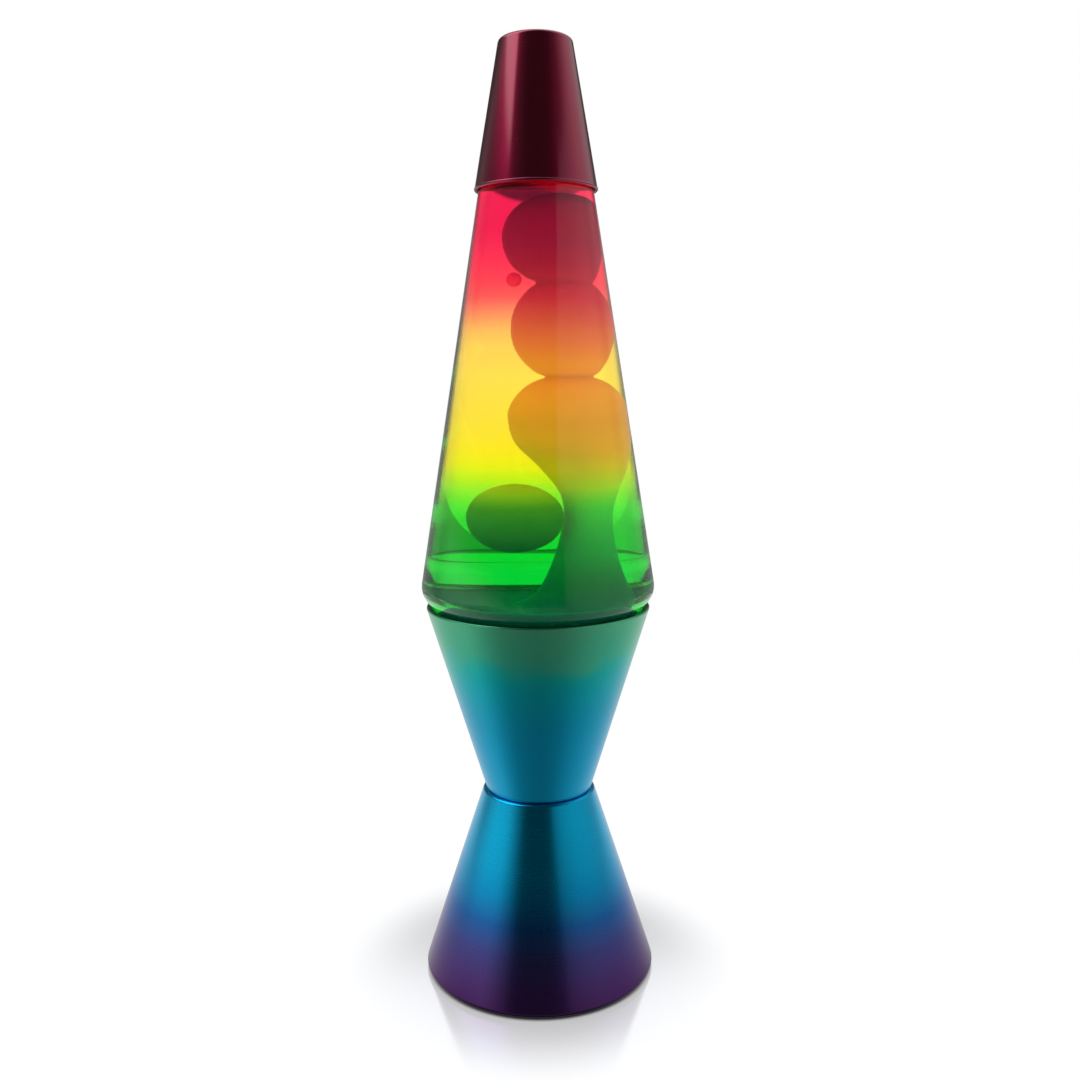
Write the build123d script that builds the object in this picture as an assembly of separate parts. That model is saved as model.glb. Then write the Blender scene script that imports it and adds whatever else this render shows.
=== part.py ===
from build123d import *
import math
import os

# Motion lamp. Millimetres, +Z up, the lamp's axis on Z and the floor at height 0.
# The front of the lamp faces -Y, and the lead's inlet is at the back, at +Y.

# Sheet that the cones and the cap are spun from, and the gaps between pieces
sheet = 0.8
fit_gap = 0.25
seat_gap = 0.3
weld_gap = 0.1

# Stand, the lower spun cone
stand_foot_radius = 47.0
rim_lift = 0.9
foot_hem_width = 5.0
foot_fold = 1.0
waist_height = 76.4
waist_radius = 22.4
waist_fold = 0.9

# Cup, the upper spun cone, with the neck that it stands on
cup_height = 76.4
cup_rim_radius = 44.4
cup_rim_fold = 0.4
cup_foot_step = 1.3
cup_foot_fold = 0.7
neck_step = 1.9
neck_length = 6.0
neck_fold = 0.6

# Ring that locks the two cones together
lock_ring_thickness = 1.2

# Bottom plate, its tabs, screws and feet
plate_height = 5.0
plate_thickness = 1.0
plate_gap = 0.4
vent_count = 8
vent_inner_radius = 16.5
vent_edge = 9.7
vent_width = 3.2
tab_count = 3
tab_start_angle = 30.0
tab_width = 11.0
tab_thickness = 1.2
tab_ear_height = 7.5
tab_reach = 11.5
screw_radius = 1.5
screw_head_radius = 2.8
screw_head_height = 1.6
screw_head_rounding = 0.7
screw_length = 7.0
screw_edge = 3.7
foot_count = 4
foot_radius = 5.5
foot_edge = 9.2
foot_chamfer = 0.6

# Inlet for the lead
inlet_height = 16.0
inlet_bore = 4.0
inlet_wall = 0.9
inlet_flange_radius = 6.6
inlet_flange_thickness = 1.4
inlet_flange_rounding = 0.7

# Pipe that carries the lampholder
pipe_radius = 5.0
pipe_bore = 3.6
pipe_bottom = 1.4
nut_across_flats = 14.0
nut_thickness = 3.0
washer_radius = 9.0
washer_thickness = 1.0

# Lampholder for a small screw bulb
holder_wall = 3.2
holder_boss_radius = 8.5
holder_bottom = 36.0
holder_boss_height = 5.5
holder_floor_rise = 9.0
holder_height = 30.0
holder_socket_depth = 5.0
holder_edge = 1.0
shell_radius = 8.65
shell_wall = 0.4
shell_mouth_radius = 5.45
shell_fold = 0.4
shell_recess = 0.5
contact_width = 4.0
contact_length = 9.2
contact_span = 5.6
contact_flat = 3.2
contact_rise = 1.2
contact_leaf = 0.4
contact_bend = 0.3
terminal_rise = 18.0
terminal_radius = 1.4
terminal_head_radius = 2.6
terminal_head_height = 1.4
terminal_depth = 2.4
terminal_slot_width = 0.8
terminal_slot_depth = 0.7

# Bulb
bulb_cap_gap = 0.3
bulb_cap_length = 15.0
bulb_cap_wall = 0.4
bulb_cap_mouth = 4.9
bulb_cap_fold = 1.0
bulb_glass = 0.7
bulb_neck_gap = 0.35
bulb_radius = 17.0
bulb_length = 58.8
bulb_neck_length = 20.0
bulb_neck_overlap = 4.0
bulb_shoulder_length = 37.0
bulb_neck_curve = 8.0
bulb_shoulder_curve = 14.0
bulb_head_curve = 15.0
bulb_insulator_height = 2.8
bulb_insulator_foot = 1.8
bulb_insulator_edge = 1.4
bulb_tip_radius = 2.3
bulb_tip_rise = 0.8
bulb_tip_rounding = 0.5
bulb_stem_radius = 1.9
bulb_stem_length = 17.5
bulb_stem_foot = 1.2
lead_wire_radius = 0.35
lead_root = 1.05
lead_straight = 1.5
lead_bend = 1.0
lead_spread = 5.4
lead_rise = 6.5
filament_radius = 0.3
filament_sag = 1.6
filament_gap = 0.3

# Globe: the glass bottle
glass_wall = 2.6
globe_sink = 31.3
push_up = 3.0
push_up_slope = 5.5
push_up_rounding = 2.5
foot_ring_width = 7.9
foot_ring_rounding = 2.0
heel_gap = 1.5
heel_rounding = 6.0
globe_seat_inset = 2.3
globe_seat_drop = 1.0
globe_seat_rounding = 6.0
shoulder_overhang = 2.5
shoulder_rise = 5.8
shoulder_rounding = 9.0
globe_body_length = 163.5
globe_top_radius = 20.6
globe_top_rounding = 9.0
globe_top_length = 12.4
bottle_neck_radius = 12.2
bottle_neck_length = 6.5
bottle_neck_rounding = 4.0
finish_radius = 13.3
finish_step = 0.8
finish_rounding = 0.5
finish_length = 9.2
mouth_rounding = 1.2

# Crown closure and its liner
liner_radius = 12.6
liner_thickness = 0.8
crown_sheet = 0.6
crown_skirt = 5.4
crown_radius = 14.7
crown_flare = 1.0
crown_edge = 0.9
crown_flutes = 21
flute_radius = 1.1
flute_depth = 0.7

# Liquid and wax
liquid_gap = 0.15
liquid_rise = 3.9
pool_depth = 30.5

# Coil on the globe's floor
coil_ring_edge = 5.4
coil_radius = 3.0

# Cap, the tapered spun top
cap_height = 54.4
cap_overlap = 8.5
cap_bead_radius = 0.85
cap_top_radius = 13.6
cap_top_fold = 2.4

# Heights up the lamp that follow from these sizes
cup_rim_height = waist_height + cup_height
globe_bottom = cup_rim_height - globe_sink
globe_seat_height = cup_rim_height - globe_seat_drop
shoulder_height = cup_rim_height + shoulder_rise
globe_top_height = shoulder_height + globe_body_length
bottle_neck_height = globe_top_height + globe_top_length
finish_height = bottle_neck_height + bottle_neck_length
globe_mouth_height = finish_height + finish_length
cap_rim_height = globe_top_height - cap_overlap
lamp_height = cap_rim_height + cap_height

UP = (Align.CENTER, Align.CENTER, Align.MIN)


# Shapes that every piece uses

def half_plane():
    """All of the drawing plane on the outer side of the axis."""
    return Pos(lamp_height / 2, lamp_height / 2) * Rectangle(lamp_height, 2 * lamp_height)


def sheet_section(path, wall):
    """A sheet of even wall centred on a path, with rounded edges, cut at the axis."""
    return make_face(offset(path, amount=wall / 2, side=Side.BOTH).edges()) & half_plane()


def turned(section):
    """A section drawn as radius and height, spun about the lamp's axis."""
    return revolve(Plane.XZ * section, Axis.Z)


def rod(radius, low, high):
    """A plain round bar on the axis between two heights."""
    return Pos(0, 0, low) * Cylinder(radius, high - low, align=UP)


def tube(outer, inner, low, high):
    """A plain tube on the axis between two heights."""
    return rod(outer, low, high) - rod(inner, low, high)


def around(shape, count, start_angle=0.0):
    """The same shape repeated about the lamp's axis."""
    return [Rot(0, 0, start_angle + 360.0 * n / count) * shape for n in range(count)]


# Outlines that several pieces share

hem_height = rim_lift + sheet / 2
waist_path_height = waist_height - sheet / 2
stand_slope = (stand_foot_radius - waist_radius) / (waist_path_height - hem_height)
stand_lean = math.degrees(math.atan(stand_slope))
cup_path_foot = waist_height + sheet / 2
cup_path_rim = cup_rim_height - sheet / 2
cup_foot_radius = waist_radius - cup_foot_step
cup_slope = (cup_rim_radius - cup_foot_radius) / (cup_path_rim - cup_path_foot)
neck_radius = cup_foot_radius - neck_step
neck_outer_radius = neck_radius + sheet / 2
heel_radius = cup_foot_radius + cup_slope * (globe_bottom - cup_path_foot) - heel_gap
foot_ring_radius = heel_radius - foot_ring_width
push_up_radius = foot_ring_radius - push_up_slope
globe_seat_radius = cup_rim_radius - globe_seat_inset
shoulder_radius = cup_rim_radius + shoulder_overhang
globe_taper = (shoulder_radius - globe_top_radius) / globe_body_length


def stand_radius(height):
    """Middle of the stand's wall at a height."""
    return stand_foot_radius - stand_slope * (height - hem_height)


def stand_inside(clearance):
    """The solid that fills the stand's cone up to a clearance from its wall."""
    inset = (sheet / 2 + clearance) / math.cos(math.radians(stand_lean))
    low = rim_lift + sheet
    high = waist_height - sheet
    outline = Polyline(
        (0, low),
        (stand_radius(low) - inset, low),
        (stand_radius(high) - inset, high),
        (0, high),
        close=True,
    )
    return turned(make_face(outline))


def globe_radius(height):
    """Outside of the globe's long taper at a height."""
    return shoulder_radius - globe_taper * (height - shoulder_height)


def globe_outline(inset):
    """Half of the globe's outline, moved inwards by an inset, as a face on the axis."""
    corners = [
        (0, globe_bottom + push_up),
        (push_up_radius, globe_bottom + push_up),
        (foot_ring_radius, globe_bottom),
        (heel_radius, globe_bottom),
        (globe_seat_radius, globe_seat_height),
        (shoulder_radius, shoulder_height),
        (globe_radius(globe_top_height), globe_top_height),
        (bottle_neck_radius, bottle_neck_height),
        (bottle_neck_radius, finish_height),
        (finish_radius, finish_height + finish_step),
        (finish_radius, globe_mouth_height),
        (0, globe_mouth_height),
    ]
    roundings = [
        push_up_rounding,
        foot_ring_rounding,
        heel_rounding,
        globe_seat_rounding,
        shoulder_rounding,
        globe_top_rounding,
        bottle_neck_rounding,
        finish_rounding,
        finish_rounding,
        mouth_rounding,
    ]
    right = FilletPolyline(*corners, radius=roundings)
    axis_side = Line(corners[-1], corners[0])
    face = make_face(right.edges() + axis_side.edges())
    if inset == 0:
        return face
    whole = face + mirror(face, about=Plane.YZ)
    return offset(whole, amount=-inset, kind=Kind.INTERSECTION) & half_plane()


def cup_rim_tip():
    """Middle of the cup's turned-in edge, a seat gap away from the globe's shoulder."""
    run = shoulder_radius - globe_seat_radius
    rise = shoulder_height - globe_seat_height
    length = math.hypot(run, rise)
    away = sheet / 2 + seat_gap
    above = cup_path_rim - globe_seat_height
    return globe_seat_radius + (away + above * run / length) * length / rise


# Base: the two spun cones and the ring that locks them

def inlet_frame():
    """Frame on the stand's back wall, pointing straight out of it."""
    lean = math.radians(stand_lean)
    return Plane(
        origin=(0, stand_radius(inlet_height), inlet_height),
        x_dir=(1, 0, 0),
        z_dir=(0, math.cos(lean), math.sin(lean)),
    )


def make_stand_cone():
    """Lower cone: a hem turned in at the foot and a flange turned in at the waist."""
    path = FilletPolyline(
        (stand_foot_radius - foot_hem_width, hem_height),
        (stand_foot_radius, hem_height),
        (waist_radius, waist_path_height),
        (neck_outer_radius + fit_gap + sheet / 2, waist_path_height),
        radius=[foot_fold, waist_fold],
    )
    cone = turned(sheet_section(path, sheet))
    hole = inlet_frame() * Cylinder(inlet_bore + inlet_wall + fit_gap, stand_foot_radius / 2)
    return cone - hole


def make_cup_cone():
    """Upper cone: a neck that passes through the stand, and an edge that seats the globe."""
    path = FilletPolyline(
        (neck_radius, cup_path_foot - neck_length),
        (neck_radius, cup_path_foot),
        (cup_foot_radius, cup_path_foot),
        (cup_rim_radius, cup_path_rim),
        (cup_rim_tip(), cup_path_rim),
        radius=[neck_fold, cup_foot_fold, cup_rim_fold],
    )
    return turned(sheet_section(path, sheet))


def make_lock_ring():
    """Flat ring pressed up the cup's neck against the underside of the stand's flange."""
    top = waist_height - sheet
    return tube(waist_radius - waist_fold, neck_outer_radius + fit_gap, top - lock_ring_thickness, top)


# Base: the bottom plate and what stands on it

plate_top = plate_height + plate_thickness
plate_radius = stand_foot_radius - foot_hem_width - sheet / 2 - plate_gap
screw_circle = plate_radius - screw_edge
foot_circle = plate_radius - foot_edge


def make_bottom_plate():
    """Vented disc recessed in the foot, with a hole for the pipe and for each screw."""
    plate = rod(plate_radius, plate_height, plate_top)
    plate -= rod(pipe_radius + fit_gap, plate_height, plate_top)
    vent_outer_radius = plate_radius - vent_edge
    vent_middle = (vent_inner_radius + vent_outer_radius) / 2
    outline = SlotOverall(vent_outer_radius - vent_inner_radius, vent_width)
    slot = Pos(vent_middle, 0, plate_height) * extrude(outline, plate_thickness)
    for vent in around(slot, vent_count, 180.0 / vent_count):
        plate -= vent
    hole = Pos(screw_circle, 0, 0) * rod(screw_radius + fit_gap, plate_height, plate_top)
    for screw_hole in around(hole, tab_count, tab_start_angle):
        plate -= screw_hole
    return plate


def make_plate_tabs():
    """Angle tabs spot-welded inside the stand's wall, which take the plate's screws."""
    ear_top = plate_top + tab_ear_height
    inside = stand_inside(weld_gap)
    ear_back = stand_inside(weld_gap + tab_thickness)
    reach = stand_foot_radius
    slab = Pos(reach / 2, 0, plate_top) * Box(reach, tab_width, tab_ear_height, align=UP)
    ear = (inside - ear_back) & slab
    inner_end = stand_radius(plate_top) - tab_reach
    length = reach - inner_end
    shelf = Pos(inner_end + length / 2, 0, plate_top) * Box(length, tab_width, tab_thickness, align=UP)
    shelf &= inside
    tab = ear + shelf - Pos(screw_circle, 0, 0) * rod(screw_radius + fit_gap, plate_height, ear_top)
    return Part() + around(tab, tab_count, tab_start_angle)


def make_plate_screws():
    """One pan-head screw up through the plate into each tab."""
    head = rod(screw_head_radius, plate_height - screw_head_height, plate_height)
    head = fillet(head.faces().sort_by(Axis.Z)[0].edges(), screw_head_rounding)
    shank = rod(screw_radius, plate_height, plate_height + screw_length)
    screw = Pos(screw_circle, 0, 0) * (head + shank)
    return Part() + around(screw, tab_count, tab_start_angle)


def make_foot(number):
    """Rubber foot under the plate, which lifts the stand's rim off the floor."""
    foot = rod(foot_radius, 0, plate_height)
    foot = chamfer(foot.faces().sort_by(Axis.Z)[0].edges(), foot_chamfer)
    angle = 360.0 * (number + 0.5) / foot_count
    return Rot(0, 0, angle) * Pos(foot_circle, 0, 0) * foot


def make_inlet_grommet():
    """Flanged bush in the stand's back wall, where the lead goes in."""
    outside = sheet / 2 + weld_gap
    wall_curve = inlet_flange_radius**2 / (2 * stand_radius(inlet_height))
    inside = sheet / 2 + wall_curve + weld_gap
    body_radius = inlet_bore + inlet_wall
    length = outside + inside + 2 * inlet_flange_thickness
    bush = Cylinder(body_radius, length, align=UP)
    flange = Cylinder(inlet_flange_radius, inlet_flange_thickness, align=UP)
    outer_flange = Pos(0, 0, length - inlet_flange_thickness) * flange
    outer_flange = fillet(outer_flange.faces().sort_by(Axis.Z)[-1].edges(), inlet_flange_rounding)
    bush = bush + flange + outer_flange - Cylinder(inlet_bore, length, align=UP)
    return inlet_frame() * Pos(0, 0, outside + inlet_flange_thickness - length) * bush


def hex_nut(low):
    """Hexagon nut round the pipe."""
    flats = RegularPolygon(nut_across_flats / 2, 6, major_radius=False)
    nut = Pos(0, 0, low) * extrude(flats, nut_thickness)
    return nut - rod(pipe_radius + fit_gap, low, low + nut_thickness)


def make_lamp_pipe():
    """Pipe that stands on the plate and carries the lampholder."""
    return tube(pipe_radius, pipe_bore, pipe_bottom, holder_bottom + holder_socket_depth)


def make_pipe_washer():
    """Washer between the plate and the upper nut."""
    return tube(washer_radius, pipe_radius + fit_gap, plate_top, plate_top + washer_thickness)


# Base: the lampholder

holder_shoulder = holder_bottom + holder_boss_height
holder_floor = holder_bottom + holder_floor_rise
holder_top = holder_bottom + holder_height
holder_bore = shell_radius + shell_wall + fit_gap
holder_radius = holder_bore + holder_wall
terminal_height = holder_bottom + terminal_rise


def make_holder_body():
    """Moulded body: a cup for the screw shell over a boss for the pipe."""
    outline = FilletPolyline(
        (0, holder_bottom),
        (holder_boss_radius, holder_bottom),
        (holder_boss_radius, holder_shoulder),
        (holder_radius, holder_shoulder),
        (holder_radius, holder_top),
        (0, holder_top),
        radius=[holder_edge] * 4,
    )
    body = turned(make_face(outline.edges() + Line((0, holder_top), (0, holder_bottom)).edges()))
    body -= rod(holder_bore, holder_floor, holder_top)
    body -= rod(pipe_radius + fit_gap, holder_bottom, holder_bottom + holder_socket_depth)
    for hole in terminals(terminal_radius + fit_gap, 0, terminal_depth + fit_gap):
        body -= hole
    return body


def terminals(radius, head_radius, depth):
    """The two side screws, or the holes for them when no head is asked for."""
    screw = Pos(0, 0, -depth) * Cylinder(radius, depth, align=UP)
    if head_radius:
        screw += Cylinder(head_radius, terminal_head_height, align=UP)
        slot = Box(terminal_slot_width, 3 * head_radius, terminal_slot_depth, align=UP)
        screw -= Pos(0, 0, terminal_head_height - terminal_slot_depth) * slot
    side = Plane(origin=(holder_radius, 0, terminal_height), x_dir=(0, 0, 1), z_dir=(1, 0, 0))
    return around(side * screw, 2)


def make_holder_shell():
    """Brass shell that takes the bulb's screw cap, with a lip turned in at its foot."""
    path = FilletPolyline(
        (shell_mouth_radius, holder_floor + shell_wall / 2),
        (shell_radius + shell_wall / 2, holder_floor + shell_wall / 2),
        (shell_radius + shell_wall / 2, holder_top - shell_recess),
        radius=[shell_fold],
    )
    return turned(sheet_section(path, shell_wall))


def make_centre_contact():
    """Sprung leaf on the holder's floor, arched up to the bulb's tip."""
    low = holder_floor + contact_leaf / 2
    high = low + contact_rise
    end = (contact_length - contact_leaf) / 2
    path = FilletPolyline(
        (-end, low),
        (-contact_span / 2, low),
        (-contact_flat / 2, high),
        (contact_flat / 2, high),
        (contact_span / 2, low),
        (end, low),
        radius=[contact_bend] * 4,
    )
    section = make_face(offset(path, amount=contact_leaf / 2, side=Side.BOTH).edges())
    return extrude(Plane.XZ * section, contact_width / 2, both=True)


def make_terminal_screws():
    """The two brass side screws for the lead's wires."""
    return Part() + terminals(terminal_radius, terminal_head_radius, terminal_depth)


# Bulb

bulb_bottom = holder_floor + contact_leaf + contact_rise
bulb_insulator_bottom = bulb_bottom + bulb_tip_rise
bulb_cap_bottom = bulb_insulator_bottom + bulb_insulator_height
bulb_cap_radius = shell_radius - bulb_cap_gap
bulb_neck_radius = bulb_cap_radius - bulb_cap_wall - bulb_neck_gap - bulb_glass / 2
bulb_top = bulb_bottom + bulb_length
stem_base = bulb_cap_bottom + bulb_cap_length - bulb_neck_overlap
stem_top = stem_base + bulb_stem_length


def make_bulb_envelope():
    """Blown glass: a straight neck in the cap, widening to a round head."""
    path = FilletPolyline(
        (bulb_neck_radius, stem_base),
        (bulb_neck_radius, bulb_bottom + bulb_neck_length),
        (bulb_radius, bulb_bottom + bulb_shoulder_length),
        (bulb_radius, bulb_top - bulb_glass / 2),
        (0, bulb_top - bulb_glass / 2),
        radius=[bulb_neck_curve, bulb_shoulder_curve, bulb_head_curve],
    )
    return turned(sheet_section(path, bulb_glass))


def make_bulb_cap():
    """Brass screw cap, drawn in at its foot round the insulator."""
    middle = bulb_cap_radius - bulb_cap_wall / 2
    foot = bulb_cap_bottom + bulb_cap_wall / 2
    path = FilletPolyline(
        (bulb_cap_mouth, foot),
        (middle, foot),
        (middle, bulb_cap_bottom + bulb_cap_length),
        radius=[bulb_cap_fold],
    )
    return turned(sheet_section(path, bulb_cap_wall))


def make_bulb_insulator():
    """Dark glass between the cap and its tip."""
    bore = bulb_tip_radius + fit_gap
    outline = Polyline(
        (bore, bulb_insulator_bottom),
        (bore + bulb_insulator_foot, bulb_insulator_bottom),
        (bulb_cap_radius - bulb_insulator_edge, bulb_cap_bottom),
        (bore, bulb_cap_bottom),
        close=True,
    )
    return turned(make_face(outline))


def make_bulb_tip():
    """Solder contact at the foot of the bulb."""
    tip = rod(bulb_tip_radius, bulb_bottom, bulb_cap_bottom)
    return fillet(tip.faces().sort_by(Axis.Z)[0].edges(), bulb_tip_rounding)


def make_bulb_stem():
    """Glass mount: a flare that closes the neck and a post for the wires."""
    flare = rod(bulb_neck_radius - bulb_glass / 2 - fit_gap, stem_base, stem_base + bulb_stem_foot)
    post = rod(bulb_stem_radius, stem_base, stem_top)
    return flare + post


def lead_wire_end(side):
    """Top of a lead wire, where the filament hangs."""
    return (side * lead_spread, 0, stem_top + lead_rise)


def make_bulb_leads():
    """Two wires that leave the stem and spread to hold the filament."""
    wires = Part()
    for side in (-1, 1):
        start = (side * lead_root, 0, stem_top)
        knee = (side * lead_root, 0, stem_top + lead_straight)
        path = FilletPolyline(start, knee, lead_wire_end(side), radius=[lead_bend])
        section = Plane(origin=start, z_dir=(0, 0, 1)) * Circle(lead_wire_radius)
        wires += sweep(section, path=path)
    return wires


def make_bulb_filament():
    """The coiled filament, as the fine rod that its coils make, sagging between the wires."""
    clear = lead_wire_radius + filament_radius + filament_gap
    left = (-lead_spread + clear, 0, stem_top + lead_rise)
    right = (lead_spread - clear, 0, stem_top + lead_rise)
    middle = (0, 0, stem_top + lead_rise - filament_sag)
    path = ThreePointArc(left, middle, right)
    section = Plane(origin=left, z_dir=path % 0) * Circle(filament_radius)
    return sweep(section, path=path)


# Globe

def make_globe_bottle():
    """Glass bottle of even wall, open at its mouth."""
    bottle = turned(globe_outline(0) - globe_outline(glass_wall))
    mouth = rod(bottle_neck_radius - glass_wall, bottle_neck_height, globe_mouth_height)
    return bottle - mouth


def cavity(inset_gap, low, high):
    """The inside of the bottle between two heights, a gap away from its wall."""
    middle = (low + high) / 2
    band = Pos(lamp_height / 2, middle) * Rectangle(lamp_height, high - low)
    return turned(globe_outline(glass_wall + inset_gap) & band)


def oval(radius, half_height, centre):
    """A round blob of wax, taller or flatter than a ball."""
    return Pos(*centre) * scale(Sphere(radius), by=(1, 1, half_height / radius))


liquid_level = globe_top_height + liquid_rise
pool_level = globe_bottom + pool_depth

# Wax, at the moment that is modelled, with all of its heights above the globe's bottom.
# Each blob has its radius, half height and centre.
top_blob = (13.5, 18.2, (4.2, 2.0, 173.8))
middle_blob = (14.4, 19.0, (7.2, 2.0, 139.3))
left_blob = (14.0, 13.5, (-7.5, -9.0, 66.5))
bead = (2.5, 2.5, (-8.6, -4.0, 159.1))
top_contact = globe_bottom + 157.5
column_rise = 121.7
middle_contact = globe_bottom + column_rise

# The column's cross sections from the pool up to its head: height, radius, sideways place
column_back = 3.0
column_stations = [
    (29.0, 21.0, 11.5),
    (37.0, 13.2, 13.4),
    (51.5, 8.9, 14.0),
    (66.0, 7.2, 14.6),
    (75.5, 8.7, 14.8),
    (85.5, 13.2, 13.2),
    (94.5, 16.9, 10.4),
    (104.5, 17.8, 8.9),
    (114.5, 14.8, 8.6),
    (column_rise, 8.0, 8.2),
]


def above(height):
    """Everything over a height."""
    return Pos(0, 0, height) * Box(lamp_height, lamp_height, lamp_height, align=UP)


def below(height):
    """Everything under a height."""
    return Pos(0, 0, height - lamp_height) * Box(lamp_height, lamp_height, lamp_height, align=UP)


def blob(shape, grown=0.0):
    """A blob from its numbers, grown on all sides where it is a space in the liquid."""
    radius, half_height, centre = shape
    return Pos(0, 0, globe_bottom) * oval(radius + grown, half_height + grown, centre)


def wax(shape):
    """The part of a shape that lies within the liquid's space."""
    return shape & cavity(2 * liquid_gap, globe_bottom, liquid_level - liquid_gap)


def column(grown=0.0):
    """The wax that rises from the pool: a lofted stem with a round head."""
    rings = []
    for height, radius, side in column_stations:
        rings.append(Pos(side, column_back, globe_bottom + height) * Circle(radius + grown))
    return loft(rings)


def coil_channel():
    """The ring of space that the coil lies in under the pool."""
    return Pos(0, 0, coil_height) * Torus(coil_ring_radius, coil_radius + seat_gap)


coil_ring_radius = heel_radius - coil_ring_edge
coil_height = globe_bottom + glass_wall + liquid_gap + coil_radius + 2 * seat_gap


def make_wax_column():
    """The pool on the globe's floor and the column that it feeds."""
    pool = cavity(liquid_gap, globe_bottom, pool_level)
    return pool + wax(column()) - coil_channel()


def make_wax_blob_middle():
    """Blob that rides on the column's head and carries the top one."""
    return wax(blob(middle_blob)) & above(middle_contact) & below(top_contact)


def make_wax_blob_top():
    """Blob nearest the cap."""
    return wax(blob(top_blob)) & above(top_contact)


def make_liquid():
    """The clear liquid: what is left of the bottle's inside up to its level."""
    liquid = cavity(liquid_gap, pool_level, liquid_level)
    for shape in (top_blob, middle_blob, left_blob, bead):
        liquid -= blob(shape, liquid_gap)
    return liquid - column(liquid_gap)


# Coil on the globe's floor

def make_coil_ring():
    """Fine wire coil that lies in a ring under the wax, as the plain ring that its curls fill."""
    return Pos(0, 0, coil_height) * Torus(coil_ring_radius, coil_radius)


# Closure

def make_crown_liner():
    """Soft disc that seals the mouth."""
    return rod(liner_radius, globe_mouth_height, globe_mouth_height + liner_thickness)


def make_crown_cap():
    """Crown closure with a fluted skirt round the bottle's finish."""
    liner_top = globe_mouth_height + liner_thickness
    top = liner_top + crown_sheet
    low = top - crown_skirt
    outline = Polyline(
        (0, liner_top),
        (finish_radius + fit_gap, liner_top),
        (finish_radius + fit_gap, low),
        (crown_radius + crown_flare, low),
        (crown_radius, top - crown_sheet),
        (crown_radius - crown_edge, top),
        (0, top),
        close=True,
    )
    crown = turned(make_face(outline))
    groove = Cylinder(flute_radius, crown_skirt - 2 * crown_sheet, align=UP)
    groove = Pos(crown_radius + crown_flare + flute_radius - flute_depth, 0, low) * groove
    for flute in around(groove, crown_flutes):
        crown -= flute
    return crown


# Cap

def make_cap_shell():
    """Tapered cap with a flat top and a rolled bead that rests on the globe."""
    lean = math.atan(globe_taper)
    cap_rim_radius = globe_radius(cap_rim_height) + (cap_bead_radius + seat_gap) / math.cos(lean)
    top = lamp_height - sheet / 2
    path = FilletPolyline(
        (cap_rim_radius, cap_rim_height),
        (cap_top_radius, top),
        (0, top),
        radius=[cap_top_fold],
    )
    bead_section = Pos(cap_rim_radius, cap_rim_height) * Circle(cap_bead_radius)
    return turned(sheet_section(path, sheet) + bead_section)


pieces = {
    "stand_cone": make_stand_cone(),
    "cup_cone": make_cup_cone(),
    "waist_lock_ring": make_lock_ring(),
    "bottom_plate": make_bottom_plate(),
    "plate_tabs": make_plate_tabs(),
    "plate_screws": make_plate_screws(),
    "inlet_grommet": make_inlet_grommet(),
    "lamp_pipe": make_lamp_pipe(),
    "pipe_nut_lower": hex_nut(plate_height - nut_thickness),
    "pipe_washer": make_pipe_washer(),
    "pipe_nut_upper": hex_nut(plate_top + washer_thickness),
    "lampholder_body": make_holder_body(),
    "lampholder_shell": make_holder_shell(),
    "centre_contact": make_centre_contact(),
    "terminal_screws": make_terminal_screws(),
    "bulb_envelope": make_bulb_envelope(),
    "bulb_screw_cap": make_bulb_cap(),
    "bulb_insulator": make_bulb_insulator(),
    "bulb_tip": make_bulb_tip(),
    "bulb_stem": make_bulb_stem(),
    "bulb_leads": make_bulb_leads(),
    "bulb_filament": make_bulb_filament(),
    "globe_bottle": make_globe_bottle(),
    "liquid": make_liquid(),
    "wax_column": make_wax_column(),
    "wax_blob_middle": make_wax_blob_middle(),
    "wax_blob_top": make_wax_blob_top(),
    "wax_blob_left": wax(blob(left_blob)),
    "wax_bead": wax(blob(bead)),
    "coil_ring": make_coil_ring(),
    "crown_liner": make_crown_liner(),
    "crown_cap": make_crown_cap(),
    "cap_shell": make_cap_shell(),
}
for number in range(foot_count):
    pieces[f"foot_{number + 1}"] = make_foot(number)

os.makedirs("parts", exist_ok=True)
for name, piece in pieces.items():
    export_step(piece, f"parts/{name}.step")

print("pieces:", len(pieces))
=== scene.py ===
# %% [markdown]
# A motion lamp is a bottle of liquid and wax on a warm metal base. This lesson builds its looks
# around a fixed frame that holds every piece at its real place, so nothing here moves or resizes
# a piece: it gives round pieces their true smooth curves, and every surface its finish.

import math

import bmesh
import bpy
from mathutils import Matrix, Vector, noise


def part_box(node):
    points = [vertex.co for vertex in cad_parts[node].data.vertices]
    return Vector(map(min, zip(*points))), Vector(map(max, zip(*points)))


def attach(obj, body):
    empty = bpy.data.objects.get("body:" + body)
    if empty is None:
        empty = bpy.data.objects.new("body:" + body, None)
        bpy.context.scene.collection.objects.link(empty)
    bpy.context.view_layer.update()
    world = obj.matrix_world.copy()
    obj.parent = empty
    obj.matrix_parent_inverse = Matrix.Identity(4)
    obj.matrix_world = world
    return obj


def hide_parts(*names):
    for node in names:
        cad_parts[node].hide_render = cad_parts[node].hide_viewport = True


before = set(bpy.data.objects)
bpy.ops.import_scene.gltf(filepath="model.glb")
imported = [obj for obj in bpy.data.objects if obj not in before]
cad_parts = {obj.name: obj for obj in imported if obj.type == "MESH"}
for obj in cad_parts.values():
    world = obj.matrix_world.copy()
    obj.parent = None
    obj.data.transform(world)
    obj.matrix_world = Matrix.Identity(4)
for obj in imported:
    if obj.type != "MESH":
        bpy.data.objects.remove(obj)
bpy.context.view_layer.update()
scene = bpy.context.scene
scene.view_settings.view_transform = "Standard"
MM = 0.001
print("pieces in the frame:", len(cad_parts))

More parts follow.
